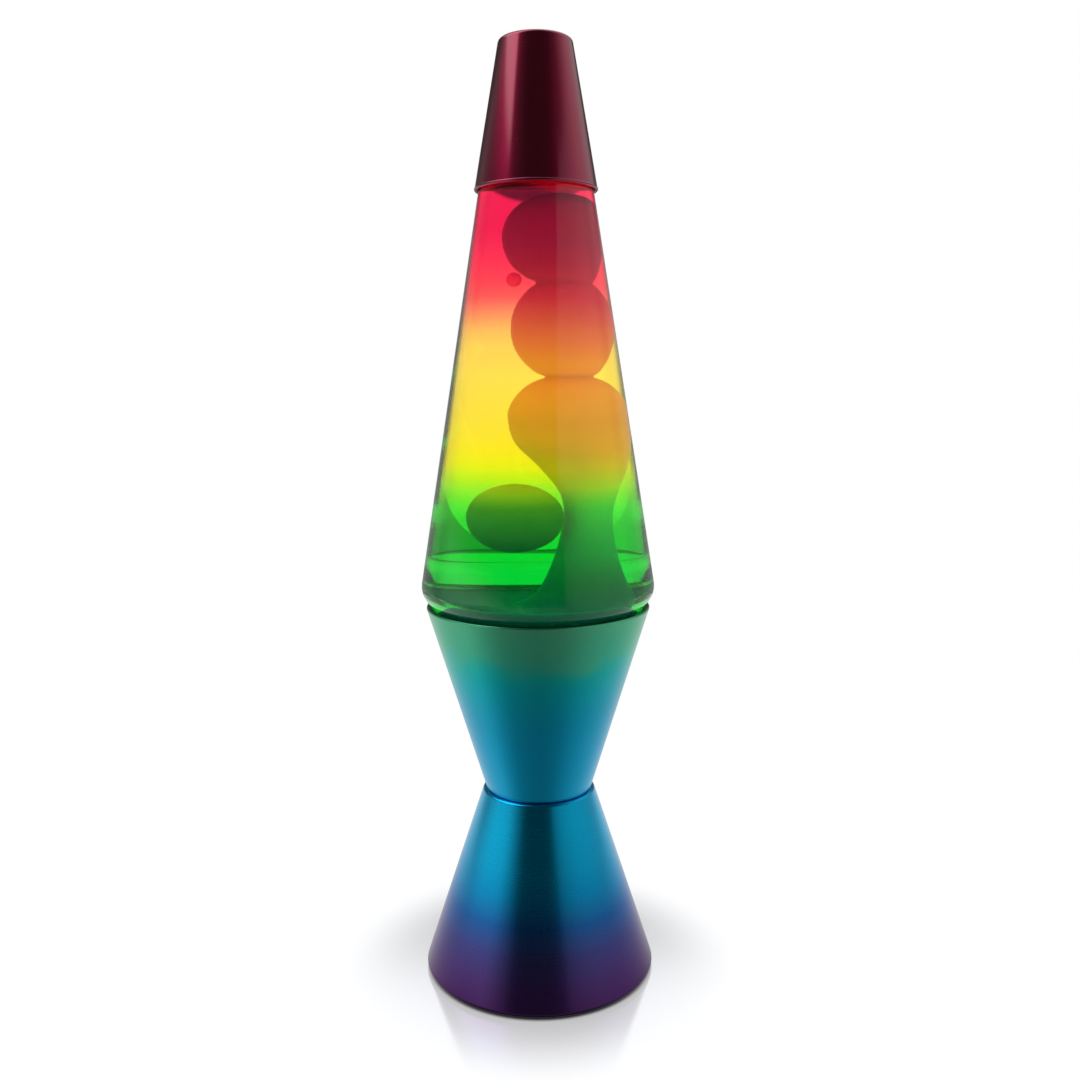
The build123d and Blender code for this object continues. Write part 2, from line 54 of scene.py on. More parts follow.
# %% [markdown]
# The photograph is taken from the lamp's mid height, looking down a little, from less than half a
# metre away. That nearness is what bends the joint and the foot into deep curves while the cap
# stays almost straight, so the camera's place matters more than its lens.

# %% Camera
camera_distance = 432 * MM
camera_height = 241.5 * MM
camera_side = 0.9 * MM
camera_pitch = 8.3
camera_roll = -0.26
focal_pixels = 1092
frame_pixels = 1080
sensor_width = 36.0

camera = bpy.data.objects.new("camera", bpy.data.cameras.new("camera"))
scene.collection.objects.link(camera)
camera.data.sensor_width = sensor_width
camera.data.lens = sensor_width * focal_pixels / frame_pixels
camera.data.clip_start = 0.01
camera.matrix_world = (
    Matrix.Translation((camera_side, -camera_distance, camera_height))
    @ Matrix.Rotation(math.radians(90 - camera_pitch), 4, "X")
    @ Matrix.Rotation(math.radians(camera_roll), 4, "Z")
)
scene.camera = camera
print("lens:", round(camera.data.lens, 1), "mm")

# %% [markdown]
# A finish is a small network of nodes. Written as links and sockets it is hard to read, so two
# small classes let it be written as sums: a Signal is a socket that can be added and multiplied,
# and a Finish makes the nodes, with settings first and the values or links of the sockets after.
# What several finishes need, such as a ramp or a kind of ray, is a short method of theirs.

# %% Shader sums
class Signal:
    """An output socket that sums can be written with."""

    def __init__(self, finish, socket):
        self.finish = finish
        self.socket = socket

    def sum_with(self, operation, *terms):
        return self.finish.node("Math", {"operation": operation}, dict(enumerate(terms)))

    def __add__(self, other):
        return self.sum_with("ADD", self, other)

    __radd__ = __add__

    def __sub__(self, other):
        return self.sum_with("SUBTRACT", self, other)

    def __rsub__(self, other):
        return self.sum_with("SUBTRACT", other, self)

    def __mul__(self, other):
        return self.sum_with("MULTIPLY", self, other)

    __rmul__ = __mul__

    def __truediv__(self, other):
        return self.sum_with("DIVIDE", self, other)

    def __pow__(self, other):
        return self.sum_with("POWER", self, other)

    def __abs__(self):
        return self.sum_with("ABSOLUTE", self)

    def above(self, low, high):
        """0 below a value, 1 above another, and smooth in between."""
        return self.finish.node("MapRange", {"interpolation_type": "SMOOTHSTEP"},
                                {"Value": self, "From Min": low, "From Max": high})

    def under(self, low, high):
        """1 below a value, 0 above another, and smooth in between."""
        return 1 - self.above(low, high)


class Finish:
    """A material or a world, with one method that makes every node."""

    def __init__(self, owner):
        owner.use_nodes = True
        self.owner = owner
        self.tree = owner.node_tree
        self.tree.nodes.clear()

    def node(self, kind, settings=None, sockets=None, output=0):
        made = self.tree.nodes.new("ShaderNode" + kind)
        for name, value in (settings or {}).items():
            if name == "stops":
                self.set_stops(made.color_ramp, value)
            else:
                setattr(made, name, value)
        for key, value in (sockets or {}).items():
            if isinstance(value, Signal):
                self.tree.links.new(value.socket, made.inputs[key])
            else:
                made.inputs[key].default_value = value
        return Signal(self, made.outputs[output]) if made.outputs else made

    def set_stops(self, ramp, stops):
        while len(ramp.elements) < len(stops):
            ramp.elements.new(1.0)
        for element, (place, colour) in zip(ramp.elements, stops):
            element.position = place
            element.color = colour

    def place(self):
        """The point of the surface, in the lamp's own metres."""
        return self.node("TexCoord", output="Object")

    def parts(self, vector):
        """The X, Y and Z of a vector."""
        separated = self.node("SeparateXYZ", sockets={0: vector}).socket.node
        return [Signal(self, socket) for socket in separated.outputs]

    def height(self):
        """Height above the floor, in metres."""
        return self.parts(self.place())[2]

    def ray(self, kind):
        """1 for rays of a kind, such as Camera or Glossy, and 0 for all others."""
        return self.node("LightPath", output=f"Is {kind} Ray")

    def speckle(self, grain, detail=2.0, stretch=(1, 1, 1)):
        """Even noise with grains of about that size in metres."""
        stretched = self.node("VectorMath", {"operation": "MULTIPLY"}, {0: self.place(), 1: stretch})
        return self.node("TexNoise", sockets={"Vector": stretched, "Scale": 1 / grain, "Detail": detail})

    def ramp(self, share, stops):
        """Colours at places from 0 to 1, mixed in between."""
        return self.node("ValToRGB", {"stops": stops}, {0: share})

    def over_height(self, colours, low, high):
        """A ramp of colours at heights in millimetres, from the lowest to the highest height."""
        stops = [((height - low) / (high - low), (red, green, blue, 1)) for height, red, green, blue in colours]
        return self.ramp((self.height() - low * MM) / ((high - low) * MM), stops)

    def scaled(self, colour, factor):
        """A colour made darker or lighter."""
        return self.node("VectorMath", {"operation": "SCALE"}, {0: colour, "Scale": factor})

    def tinted(self, colour, share, darker, lighter):
        """A colour that goes from darker to lighter with a share from 0 to 1."""
        return self.scaled(colour, share * (lighter - darker) + darker)

    def blend(self, share, first, second):
        """A mix of two colours."""
        return self.node("Mix", {"data_type": "RGBA"}, {0: share, 6: first, 7: second}, output=2)

    def bump(self, height, strength, depth, **under):
        """A normal that follows a height pattern, over another one where that is given."""
        return self.node("Bump", sockets={"Strength": strength, "Distance": depth, "Height": height, **under})

    def mix(self, share, first, second):
        """A mix of two shaders."""
        return self.node("MixShader", sockets={0: share, 1: first, 2: second})

    def glow(self, strength):
        """A white light of its own."""
        return self.node("Emission", sockets={"Color": (1, 1, 1, 1), "Strength": strength})

    def surface(self, **inputs):
        """The main shader, with its sockets given by name."""
        sockets = {name.replace("_", " "): value for name, value in inputs.items()}
        return self.node("BsdfPrincipled", sockets=sockets)

    def output(self, shader):
        kind = "OutputWorld" if isinstance(self.owner, bpy.types.World) else "OutputMaterial"
        self.node(kind, sockets={"Surface": shader})
        return self.owner


def new_finish(name):
    return Finish(bpy.data.materials.new(name))


def linear(red, green, blue):
    """A screen colour of 0 to 255 as the renderer's linear colour."""
    def channel(value):
        share = value / 255
        return share / 12.92 if share <= 0.04045 else ((share + 0.055) / 1.055) ** 2.4
    return (channel(red), channel(green), channel(blue), 1.0)


print("a middle grey is", [round(c, 3) for c in linear(128, 128, 128)])

# %% [markdown]
# Glass and polished metal look like whatever stands round them. The surroundings here are white,
# with a tall soft light on either side and a dark side towards the camera. They give one light to
# matt surfaces, another to what is mirrored, by its angle round the lamp and its height, and
# another to what is seen through the glass, where a dark band stands in for the inside of the cap.
# The angles are in degrees from the camera's side, and positive to the right.

# %% Surroundings
world = bpy.data.worlds.new("studio")
scene.world = world
studio = Finish(world)
to_right, to_back, upwards = studio.parts(studio.node("TexCoord", output="Generated"))


def around_lamp(right, back):
    """The angle round the lamp as 0 to 1, with 0.5 at the camera's side."""
    return right.sum_with("ARCTAN2", right, back * -1) / (2 * math.pi) + 0.5


def light_ring(turn, levels, most):
    """Brightness from pairs of an angle in degrees and a level."""
    stops = [(angle / 360 + 0.5, (level / most,) * 3 + (1,)) for angle, level in levels]
    return turn.finish.ramp(turn, stops) * most


low_levels = [
    (-180, 0.1), (-160, 0.35), (-140, 0.4), (-120, 0.35), (-100, 0.15), (-55, 0.08), (-28, 0.03), (26.5, 0.03),
    (27.5, 0.28), (45, 0.42), (62, 0.5), (82, 0.5), (120, 0.42), (140, 0.4), (160, 0.35), (180, 0.1)]
middle_levels = [
    (-180, 0.05), (-150, 0.05), (-130, 0.2), (-100, 0.08), (-55, 0.05), (-28, 0.01), (24.0, 0.01), (25.0, 0.38),
    (45, 0.46), (62, 0.55), (82, 0.65), (120, 0.55), (135, 0.4), (150, 0.05), (180, 0.05)]
high_levels = [
    (-180, 1.0), (-160, 1.0), (-150, 0.1), (-124, 0.25), (-116, 1.9), (-60, 2.2), (-53, 0.12), (-20, 0.04),
    (40, 0.04), (62, 0.1), (85, 0.45), (110, 0.8), (130, 0.75), (145, 0.2), (160, 1.0), (180, 1.0)]
turn_round = around_lamp(to_right, to_back)
brightest = 2.5
middle_part = upwards.above(0.17, 0.25)
high_part = upwards.above(0.47, 0.50)
over_edge = upwards - 0.26
slanted = turn_round - over_edge * (over_edge * 0.6 + 0.13)
lower = (light_ring(turn_round, low_levels, brightest) * (1 - middle_part)
         + light_ring(slanted, middle_levels, brightest) * middle_part)
mirrored = lower * (1 - high_part) + light_ring(turn_round, high_levels, brightest) * high_part

# %% [markdown]
# A ray that goes straight through the globe crosses six surfaces, and one that is mirrored inside
# crosses more. Only the straight ones see the dark band, so the wax and the walls stay clean.

# %% Seen through the globe
degrees = 180 / math.pi
band_arch = 0.00187
straight_depth = 7.5
through_level = 1.16
matt_level = 0.95

rise = upwards.sum_with("ARCSINE", upwards) * degrees
off_back = to_right.sum_with("ARCTAN2", to_right, to_back) * degrees
off_back_squared = off_back * off_back
arched = rise + off_back_squared * band_arch
under_cap = arched.above(2.0, 2.25) * arched.under(3.6, 4.4) * off_back_squared.under(32.0 ** 2, 36.0 ** 2)
ray_depth = studio.node("LightPath", output="Ray Depth")
straight_through = ray_depth.sum_with("LESS_THAN", ray_depth, straight_depth)
aside = abs(off_back)
side_dark = aside.above(46.0, 56.0) * aside.under(64.0, 76.0)
seen_through = (1 - under_cap * straight_through * 0.9) * (1 - side_dark * 0.5) * through_level

camera_ray = studio.ray("Camera")
through_ray = studio.ray("Transmission") * (1 - camera_ray)
mirror_ray = studio.ray("Glossy") * (1 - camera_ray) * (1 - through_ray)
strength = (camera_ray + mirror_ray * mirrored + through_ray * seen_through
            + (1 - camera_ray) * (1 - mirror_ray) * (1 - through_ray) * matt_level)
studio.output(studio.node("Background", sockets={"Color": (1, 1, 1, 1), "Strength": strength}))

scene.cycles.max_bounces = 24
scene.cycles.transmission_bounces = 20
scene.cycles.transparent_max_bounces = 24
scene.cycles.glossy_bounces = 8

# %% [markdown]
# Two tall soft lights stand at the sides. The surroundings already hold what is mirrored of them,
# so the lights themselves only reach matt surfaces and are hidden from glass and polish.

# %% Soft lights
def soft_light(name, angle, distance, height, width, tall, power):
    """A tall soft light at an angle from the camera's side, turned to the lamp."""
    light = bpy.data.objects.new(name, bpy.data.lights.new(name, "AREA"))
    scene.collection.objects.link(light)
    light.data.shape = "RECTANGLE"
    light.data.size = width
    light.data.size_y = tall
    light.data.energy = power
    light.visible_glossy = False
    light.visible_transmission = False
    turn = math.radians(angle)
    spot = Vector((math.sin(turn) * distance, -math.cos(turn) * distance, height))
    aim = Vector((0, 0, 0.18)) - spot
    light.matrix_world = Matrix.Translation(spot) @ aim.to_track_quat("-Z", "Y").to_matrix().to_4x4()
    print(name, "brightness", round(power / (math.pi * width * tall), 2))


soft_light("left_soft_light", -80, 0.75, 0.42, 0.42, 0.7, 0.5)
soft_light("right_soft_light", 75, 0.75, 0.42, 0.42, 0.7, 0.4)

# %% [markdown]
# Two cards stand round the lamp, each a piece of an upright cylinder. The stand mirrors a bright
# one that the globe above it doesn't, so that card is low, only mirrored rays see it, and it fades
# at its edges. The other is plain white behind the lamp's lower half. It hides the dark band from
# the rays that leave the globe's foot, and no other ray sees it.

# %% Cards
card_distance = 0.6
card_top = 0.25
card_edges = [(-114, 0.0), (-100, 0.6), (-82, 1.0), (-55, 1.0), (-42, 0.5), (-27, 0.0)]


def placed(name, form):
    """A form as an object in the scene."""
    mesh = bpy.data.meshes.new(name)
    form.to_mesh(mesh)
    form.free()
    made = bpy.data.objects.new(name, mesh)
    scene.collection.objects.link(made)
    return made


def curved_card(name, first_angle, last_angle, low, high):
    """A piece of a cylinder between two angles and two heights, that no camera sees."""
    form = bmesh.new()
    turn = math.radians(first_angle)
    side = [form.verts.new((math.sin(turn) * card_distance, -math.cos(turn) * card_distance, height))
            for height in (low, high)]
    bmesh.ops.spin(form, geom=side + [form.edges.new(side)], cent=(0, 0, 0), axis=(0, 0, 1), dvec=(0, 0, 0),
                   angle=math.radians(last_angle - first_angle), steps=24)
    made = placed(name, form)
    made.visible_camera = made.visible_diffuse = made.visible_shadow = False
    return made


card = curved_card("low_card", card_edges[0][0], card_edges[-1][0], 0.001, card_top)
shine = new_finish("low_card")
right, back, height = shine.parts(shine.place())
mirrored_ray = shine.ray("Glossy") * (1 - shine.ray("Transmission"))
seen_card = light_ring(around_lamp(right, back), card_edges, 1.0) * height.under(0.19, card_top) * mirrored_ray
card.data.materials.append(shine.output(shine.mix(seen_card, shine.node("BsdfTransparent"), shine.glow(0.85))))

white_card = curved_card("plain_card", 144, 216, 0.11, card_top)
white_card.visible_glossy = False
plain_white = new_finish("plain_card")
white_card.data.materials.append(plain_white.output(plain_white.glow(through_level)))

# %% [markdown]
# The table is a round white gloss sheet. Its white glows in itself, and only the rest comes from
# the lights, which keeps it white to the edge of the picture and still lets the lamp darken it and
# mirror in it. Under the lamp's foot the glow is cut off, a painted shadow for the gap under the hem.
# What the cup mirrors of it is darker in front, where the table mirrors a dark room.
# Through the liquid it is bright up to a curved line and darker beyond, up to its far edge. Both
# are for rays that leave the lamp low. Such a ray's length over its run along the table tells how
# high it started, so a look down on the lamp finds the table plain.

# %% Table
table_reach = 0.64
table_glow = 0.77
line_place = 0.634
line_bend = 2.9
line_ends = 1100
foot_reach = 0.045
low_start = (0.062, 0.076)

form = bmesh.new()
bmesh.ops.create_circle(form, cap_ends=True, radius=table_reach, segments=180)
bmesh.ops.recalc_face_normals(form, faces=form.faces)
table = placed("table", form)

table_levels = [
    (-180, 0.9), (-140, 0.8), (-100, 0.7), (-80, 0.68), (-60, 0.42), (-40, 0.24), (0, 0.17), (30, 0.22),
    (60, 0.4), (80, 0.5), (100, 0.6), (140, 0.8), (180, 0.9)]
gloss = new_finish("white_gloss_table")
across, along, _ = gloss.parts(gloss.place())
reach = (across * across + along * along) ** 0.5
sheen = gloss.surface(Base_Color=(0.26, 0.26, 0.27, 1), Roughness=0.3, Specular_IOR_Level=0.2)
# Painted shadow: the table's glow is cut off under the lamp's foot, for the shade in the gap under the hem.
outside_painted_foot_shade = reach.above(0.0452, 0.0476)
plain = gloss.node("AddShader", sockets={0: sheen, 1: gloss.glow(outside_painted_foot_shade * table_glow)})
polish = gloss.node("BsdfGlossy", sockets={"Color": (0.92, 0.94, 1.0, 1), "Roughness": 0.12})
polished = gloss.mix(reach.under(0.046, 0.086) * 0.42, plain, polish)
mirror_table = gloss.glow(light_ring(around_lamp(across, along), table_levels, 2.0))

sideways = across * across
beyond_line = along + sideways * line_bend + sideways ** 4 * line_ends - line_place
corner_level = gloss.node("MapRange", {}, {"Value": across, "From Min": -0.1, "From Max": 0.1,
                                           "To Min": 0.78, "To Max": 0.44})
sight = gloss.node("LightPath", output="Ray Length")
run = reach - foot_reach
low_sight = (sight * sight - run * run).under(*low_start)
far_side = along.above(0.16, 0.22) * low_sight
line_part = abs(beyond_line).under(0.004, 0.012) * far_side
beyond_part = beyond_line.above(-0.002, 0.002) * far_side
through_look = gloss.glow((1 - beyond_part * (1 - corner_level)) * (1 - line_part * 0.7) * through_level)
through_table = gloss.ray("Transmission")
seen_table = gloss.mix(gloss.ray("Glossy") * (1 - through_table), polished, mirror_table)
table.data.materials.append(gloss.output(gloss.mix(through_table, seen_table, through_look)))

# %% [markdown]
# Nearly every piece of this lamp is turned, spun or blown, so its shape is one outline turned
# about the axis. An outline is drawn as a few corners with a rounding at each, in millimetres of
# radius and height. Sheet metal is drawn as its middle line and given its wall on both sides.

# %% Outlines
def towards(a, b):
    """The direction from one point to the next."""
    run = (b[0] - a[0], b[1] - a[1])
    length = math.hypot(*run)
    return (run[0] / length, run[1] / length)


def rounded(corners, radii, step=10.0):
    """Straight runs through the corners, with an arc of each radius at the inner corners."""
    points = [corners[0]]
    for before, corner, after, radius in zip(corners, corners[1:], corners[2:], radii):
        back = towards(corner, before)
        on = towards(corner, after)
        half = math.acos(max(-1, min(1, back[0] * on[0] + back[1] * on[1]))) / 2
        if radius == 0:
            points.append(corner)
            continue
        middle = towards((0, 0), (back[0] + on[0], back[1] + on[1]))
        reach = radius / math.sin(half)
        centre = (corner[0] + middle[0] * reach, corner[1] + middle[1] * reach)
        length = radius / math.tan(half)
        start = (corner[0] + back[0] * length, corner[1] + back[1] * length)
        first = math.atan2(start[1] - centre[1], start[0] - centre[0])
        sweep = math.pi - 2 * half
        side = 1 if back[0] * on[1] - back[1] * on[0] < 0 else -1
        count = max(2, math.ceil(math.degrees(sweep) / step))
        for n in range(count + 1):
            angle = first + side * sweep * n / count
            points.append((centre[0] + radius * math.cos(angle), centre[1] + radius * math.sin(angle)))
    points.append(corners[-1])
    return points


def beside(points, distance):
    """The same line moved sideways, to its left where the distance is positive."""
    moved = []
    for n, point in enumerate(points):
        before = towards(points[max(n - 1, 0)], points[max(n, 1)])
        after = towards(points[min(n, len(points) - 2)], points[min(n + 1, len(points) - 1)])
        left = (-(before[1] + after[1]), before[0] + after[0])
        scale = distance * 2 / (left[0] ** 2 + left[1] ** 2)
        moved.append((point[0] + left[0] * scale, point[1] + left[1] * scale))
    return moved


def sheet_outline(path, wall, start_round=None, end_on_axis=False):
    """The outline of a sheet of even wall round its middle line, with rounded edges."""
    right = beside(path, -wall / 2)
    left = beside(path, wall / 2)
    outline = list(right)
    if not end_on_axis:
        outline += edge_round(path[-1], towards(path[-2], path[-1]), wall / 2, wall / 2)
    outline += reversed(left)
    outline += edge_round(path[0], towards(path[1], path[0]), start_round or wall / 2, wall / 2)
    if end_on_axis:
        turn = len(right)
        outline = outline[turn:] + outline[:turn]
        outline[0] = (0, outline[0][1])
        outline[-1] = (0, outline[-1][1])
    return outline


def edge_round(centre, heading, radius, half_wall):
    """The arc round the end of a sheet, from its right side to its left."""
    middle = math.atan2(heading[1], heading[0])
    spread = math.pi - math.asin(min(1, half_wall / radius)) if radius > half_wall else math.pi / 2
    count = max(6, round(math.degrees(spread) / 9))
    angles = [middle - spread + 2 * spread * n / count for n in range(count + 1)]
    if radius <= half_wall:
        angles = angles[1:-1]
    return [(centre[0] + radius * math.cos(a), centre[1] + radius * math.sin(a)) for a in angles]


# %% [markdown]
# Blender's spin turns an outline about an axis. A full turn has to be merged at its seam and its
# poles, and its faces turned outwards, because a spin can come out inside out. A weighted normal
# keeps the long walls of the cones straight in their reflections, right up to a tight fold.

# %% Turning and finishing
ROUND = 144


def turned(outline, closed=True, steps=ROUND):
    """An outline of radius and height in millimetres, turned about the lamp's axis."""
    form = bmesh.new()
    line = [form.verts.new((radius * MM, 0, height * MM)) for radius, height in outline]
    edges = [form.edges.new(pair) for pair in zip(line, line[1:])]
    if closed:
        edges.append(form.edges.new((line[-1], line[0])))
    bmesh.ops.spin(form, geom=line + edges, cent=(0, 0, 0), axis=(0, 0, 1), dvec=(0, 0, 0),
                   angle=2 * math.pi, steps=steps, use_merge=True)
    bmesh.ops.remove_doubles(form, verts=form.verts, dist=0.000001)
    bmesh.ops.dissolve_degenerate(form, edges=form.edges, dist=0.000001)
    bmesh.ops.recalc_face_normals(form, faces=form.faces)
    return form


def piece(form, name, finish, body, slot, *stands_for, sharp=40):
    """A finished piece from a form: smooth, with its finish and its body. Its slot is not used."""
    made = placed(name, form)
    made.data.shade_smooth()
    made.data.set_sharp_from_angle(angle=math.radians(sharp))
    made.data.materials.append(finish)
    weighted = made.modifiers.new("weighted_normals", "WEIGHTED_NORMAL")
    weighted.keep_sharp = True
    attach(made, body)
    if stands_for:
        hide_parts(*stands_for)
    print(name, len(made.data.polygons), "faces")
    return made


def rod(radius, length, sides, place, form=None):
    """A closed straight rod in millimetres, with its middle at a place."""
    form = bmesh.new() if form is None else form
    bmesh.ops.create_cone(form, cap_ends=True, segments=sides, radius1=radius * MM, radius2=radius * MM,
                          depth=length * MM, matrix=place)
    return form


def joined(*forms):
    """Several forms as one."""
    whole = bmesh.new()
    for form in forms:
        part = bpy.data.meshes.new("part")
        form.to_mesh(part)
        form.free()
        whole.from_mesh(part)
        bpy.data.meshes.remove(part)
    return whole


def cut(form, cutter):
    """A form with another one cut out of it."""
    blank, tool = placed("blank", form), placed("cutter", cutter)
    saw = blank.modifiers.new("cut", "BOOLEAN")
    saw.object = tool
    saw.solver = "EXACT"
    result = bmesh.new()
    result.from_object(blank, bpy.context.evaluated_depsgraph_get())
    for made in (blank, tool):
        mesh = made.data
        bpy.data.objects.remove(made)
        bpy.data.meshes.remove(mesh)
    return result


def copies_around(form, count, first_angle=0.0):
    """Copies of a form spread evenly about the axis."""
    copies = []
    for n in range(count):
        turn = Matrix.Rotation(math.radians(first_angle + 360 * n / count), 3, "Z")
        copy = form.copy()
        bmesh.ops.rotate(copy, verts=copy.verts, cent=(0, 0, 0), matrix=turn)
        copies.append(copy)
    form.free()
    return joined(*copies)


def wire(points, radius, sides=8, closed=False):
    """A round wire along points in metres, as a form."""
    data = bpy.data.curves.new("wire", "CURVE")
    data.dimensions = "3D"
    data.bevel_depth = radius
    data.bevel_resolution = max(0, sides // 4 - 1)
    data.use_fill_caps = True
    line = data.splines.new("POLY")
    line.points.add(len(points) - 1)
    line.use_cyclic_u = closed
    for place, point in zip(line.points, points):
        place.co = (*point, 1)
    holder = bpy.data.objects.new("wire", data)
    scene.collection.objects.link(holder)
    mesh = bpy.data.meshes.new_from_object(holder.evaluated_get(bpy.context.evaluated_depsgraph_get()))
    form = bmesh.new()
    form.from_mesh(mesh)
    bpy.data.meshes.remove(mesh)
    bpy.data.objects.remove(holder)
    bpy.data.curves.remove(data)
    bmesh.ops.remove_doubles(form, verts=form.verts, dist=0.0000001)
    bmesh.ops.recalc_face_normals(form, faces=form.faces)
    return form


# %% [markdown]
# The two cones and the cap are spun from thin aluminium and coated with a clear candy colour that
# lets the metal shine through. Under a strong light the coat shows the fine rings that the
# spinning tool left, and the grains of the metal powder in the lacquer. The colour runs without a
# line from green at the cup's rim to purple at the stand's foot, so it is a ramp over the height.

# %% Candy metal
def candy_metal(name, low, high, colours, roughness, grain_depth, ring_depth, coat, painted_shade_bands=(), wander=0.0):
    """A metallic lacquer whose screen colours run over the height, with painted shade as dark bands at given heights.
    """
    finish = new_finish(name)
    grain = finish.speckle(0.00035, 1.0)
    cloud = finish.speckle(0.03, 3.0)
    share = (finish.height() - low) / (high - low)
    stops = [(place, linear(*screen)) for place, *screen in colours]
    colour = finish.ramp(share + (cloud - 0.5) * wander, stops)
    # Painted shade: the colour is darkened to 0.15 in a thin band round each given height, for shade where parts
    # meet.
    for level, half in painted_shade_bands:
        colour = finish.tinted(colour, abs(finish.height() - level).above(half, half + 0.0004), 0.15, 1.0)
    rings = finish.speckle(0.0006, 2.0, stretch=(0.02, 0.02, 1))
    colour = finish.tinted(colour, grain, 0.86, 1.14)
    colour = finish.tinted(colour, cloud, 0.95, 1.05)
    lines = finish.bump(rings, 0.5, ring_depth, Normal=finish.bump(grain, 0.5, grain_depth))
    gloss = cloud * 0.06 + rings * 0.04 + (roughness - 0.05)
    return finish.output(finish.surface(
        Base_Color=colour, Metallic=1.0, Roughness=gloss, Normal=lines,
        Coat_Weight=coat, Coat_Roughness=0.08))


base_colours = [
    (0.0, 90, 44, 110), (0.07, 86, 56, 124), (0.14, 72, 73, 142), (0.208, 30, 102, 174),
    (0.276, 0, 150, 205), (0.344, 0, 170, 218), (0.44, 0, 178, 225), (0.62, 0, 170, 215),
    (0.733, 0, 168, 204), (0.83, 0, 180, 190), (0.865, 20, 186, 176), (0.90, 66, 186, 150),
    (1.0, 84, 186, 140)]
# Painted shade: the stand's hem is painted dark up to two millimetres over the table, for the shade in the gap under
# it.
stand_finish = candy_metal("candy_stand", 0.0, 152.8 * MM, base_colours, 0.27, 0.00001, 0.00001, 0.15,
                           painted_shade_bands=[(0.9 * MM, 1.1 * MM)])
# Painted shade: the cup's rim is painted dark at its top edge, for the shade in the joint under the globe's shoulder.
cup_finish = candy_metal("candy_cup", 0.0, 152.8 * MM, base_colours, 0.30, 0.00001, 0.00001, 0.15,
                         painted_shade_bands=[(152.8 * MM, 0.1 * MM)], wander=0.16)
cap_colours = [(0.0, 154, 18, 62), (1.0, 146, 18, 58)]
cap_finish = candy_metal("candy_cap", 312 * MM, 368 * MM, cap_colours, 0.26, 0.000008, 0.00001, 1.0)

# %% [markdown]
# The stand is one spun cone. Its foot is turned in to a hem that hides the edge of the sheet, and
# its top is turned in to a flange that the cup stands on. The hem keeps a thin gap over the table,
# because the lamp stands on rubber feet inside it, and its lowest two millimetres are painted dark,
# a painted shade for that gap. The lead goes in through a hole in the back wall, square to the cone.

# %% Stand
sheet = 0.8
stand_foot_radius = 47.0
hem_height = 1.3
hem_width = 5.0
waist_height = 76.4
waist_radius = 22.4
flange_inner = 20.25
inlet_height = 16.0
inlet_hole = 5.15

stand_slope = (stand_foot_radius - waist_radius) / (waist_height - sheet / 2 - hem_height)
stand_path = rounded(
    [(stand_foot_radius - hem_width, hem_height), (stand_foot_radius, hem_height),
     (waist_radius, waist_height - sheet / 2), (flange_inner, waist_height - sheet / 2)],
    [1.0, 0.9], step=14)
inlet_radius = stand_foot_radius - stand_slope * (inlet_height - hem_height)
inlet_lean = math.atan(stand_slope)
inlet_place = Matrix.Translation((0, inlet_radius * MM, inlet_height * MM)) @ Matrix.Rotation(
    -math.pi / 2 + inlet_lean, 4, "X")

piece(cut(turned(sheet_outline(stand_path, sheet)), rod(inlet_hole, 20, 48, inlet_place)),
      "spun_stand", stand_finish, "base", "stand_metal", "stand_cone")

# %% [markdown]
# The cup is spun like the stand, upside down. A short neck goes down through the stand's flange,
# and the rim turns in a little, so that the globe's shoulder rests on a rounded edge. The top edge of
# its rim is painted dark, a painted shade for the joint under the globe.

# %% Cup
cup_foot_radius = 21.1
cup_rim_radius = 44.4
cup_rim_height = 152.8
cup_rim_tip = 43.38
neck_radius = 19.2
neck_length = 6.0

cup_foot = waist_height + sheet / 2
cup_top = cup_rim_height - sheet / 2
cup_path = rounded(
    [(neck_radius, cup_foot - neck_length), (neck_radius, cup_foot), (cup_foot_radius, cup_foot),
     (cup_rim_radius, cup_top), (cup_rim_tip, cup_top)],
    [0.6, 0.7, 0.4], step=14)
piece(turned(sheet_outline(cup_path, sheet)), "spun_cup", cup_finish, "base", "cup_metal", "cup_cone")

# %% [markdown]
# The cap is a tapered cup of the same sheet with a small rolled bead at its rim. It only sits on
# the globe's taper, so it can be lifted off. It is glossier than the base.

# %% Cap
cap_rim_radius = 23.11
cap_rim_height = 313.6
cap_top_radius = 13.6
cap_top_height = 368.0 - sheet / 2
cap_bead = 0.62
cap_path = rounded(
    [(cap_rim_radius, cap_rim_height), (cap_top_radius, cap_top_height), (0, cap_top_height)],
    [1.5], step=9)
piece(turned(sheet_outline(cap_path, sheet, start_round=cap_bead, end_on_axis=True), closed=False),
      "spun_cap", cap_finish, "cap", "cap_metal", "cap_shell")

# %% [markdown]
# The globe is a blown bottle with a wall of about two and a half millimetres. A thin
# see-through lacquer on its outside gives the liquid its colours. Light that reaches the eye
# through the clear liquid has crossed the lacquer twice, at the back and at the front, so the
# lacquer itself is paler than the colour that is seen. Lamps can't light through refracting glass
# in a short render, so for shadow rays and for rays from matt surfaces, such as the wax inside, the
# glass is a clear film of the same colour.

# %% Clear materials
def clear_finish(name, low, high, colours, index):
    """Glass or liquid with colours over the height, and a film for shadow and diffuse rays."""
    finish = new_finish(name)
    colour = finish.over_height(colours, low, high)
    glass = finish.surface(Base_Color=colour, Roughness=0.0, Transmission_Weight=1.0, IOR=index)
    film = finish.node("BsdfTransparent", sockets={0: finish.node("Gamma", sockets={0: colour, 1: 0.5})})
    return finish.output(finish.mix(finish.ray("Diffuse"), finish.mix(finish.ray("Shadow"), glass, film), film))


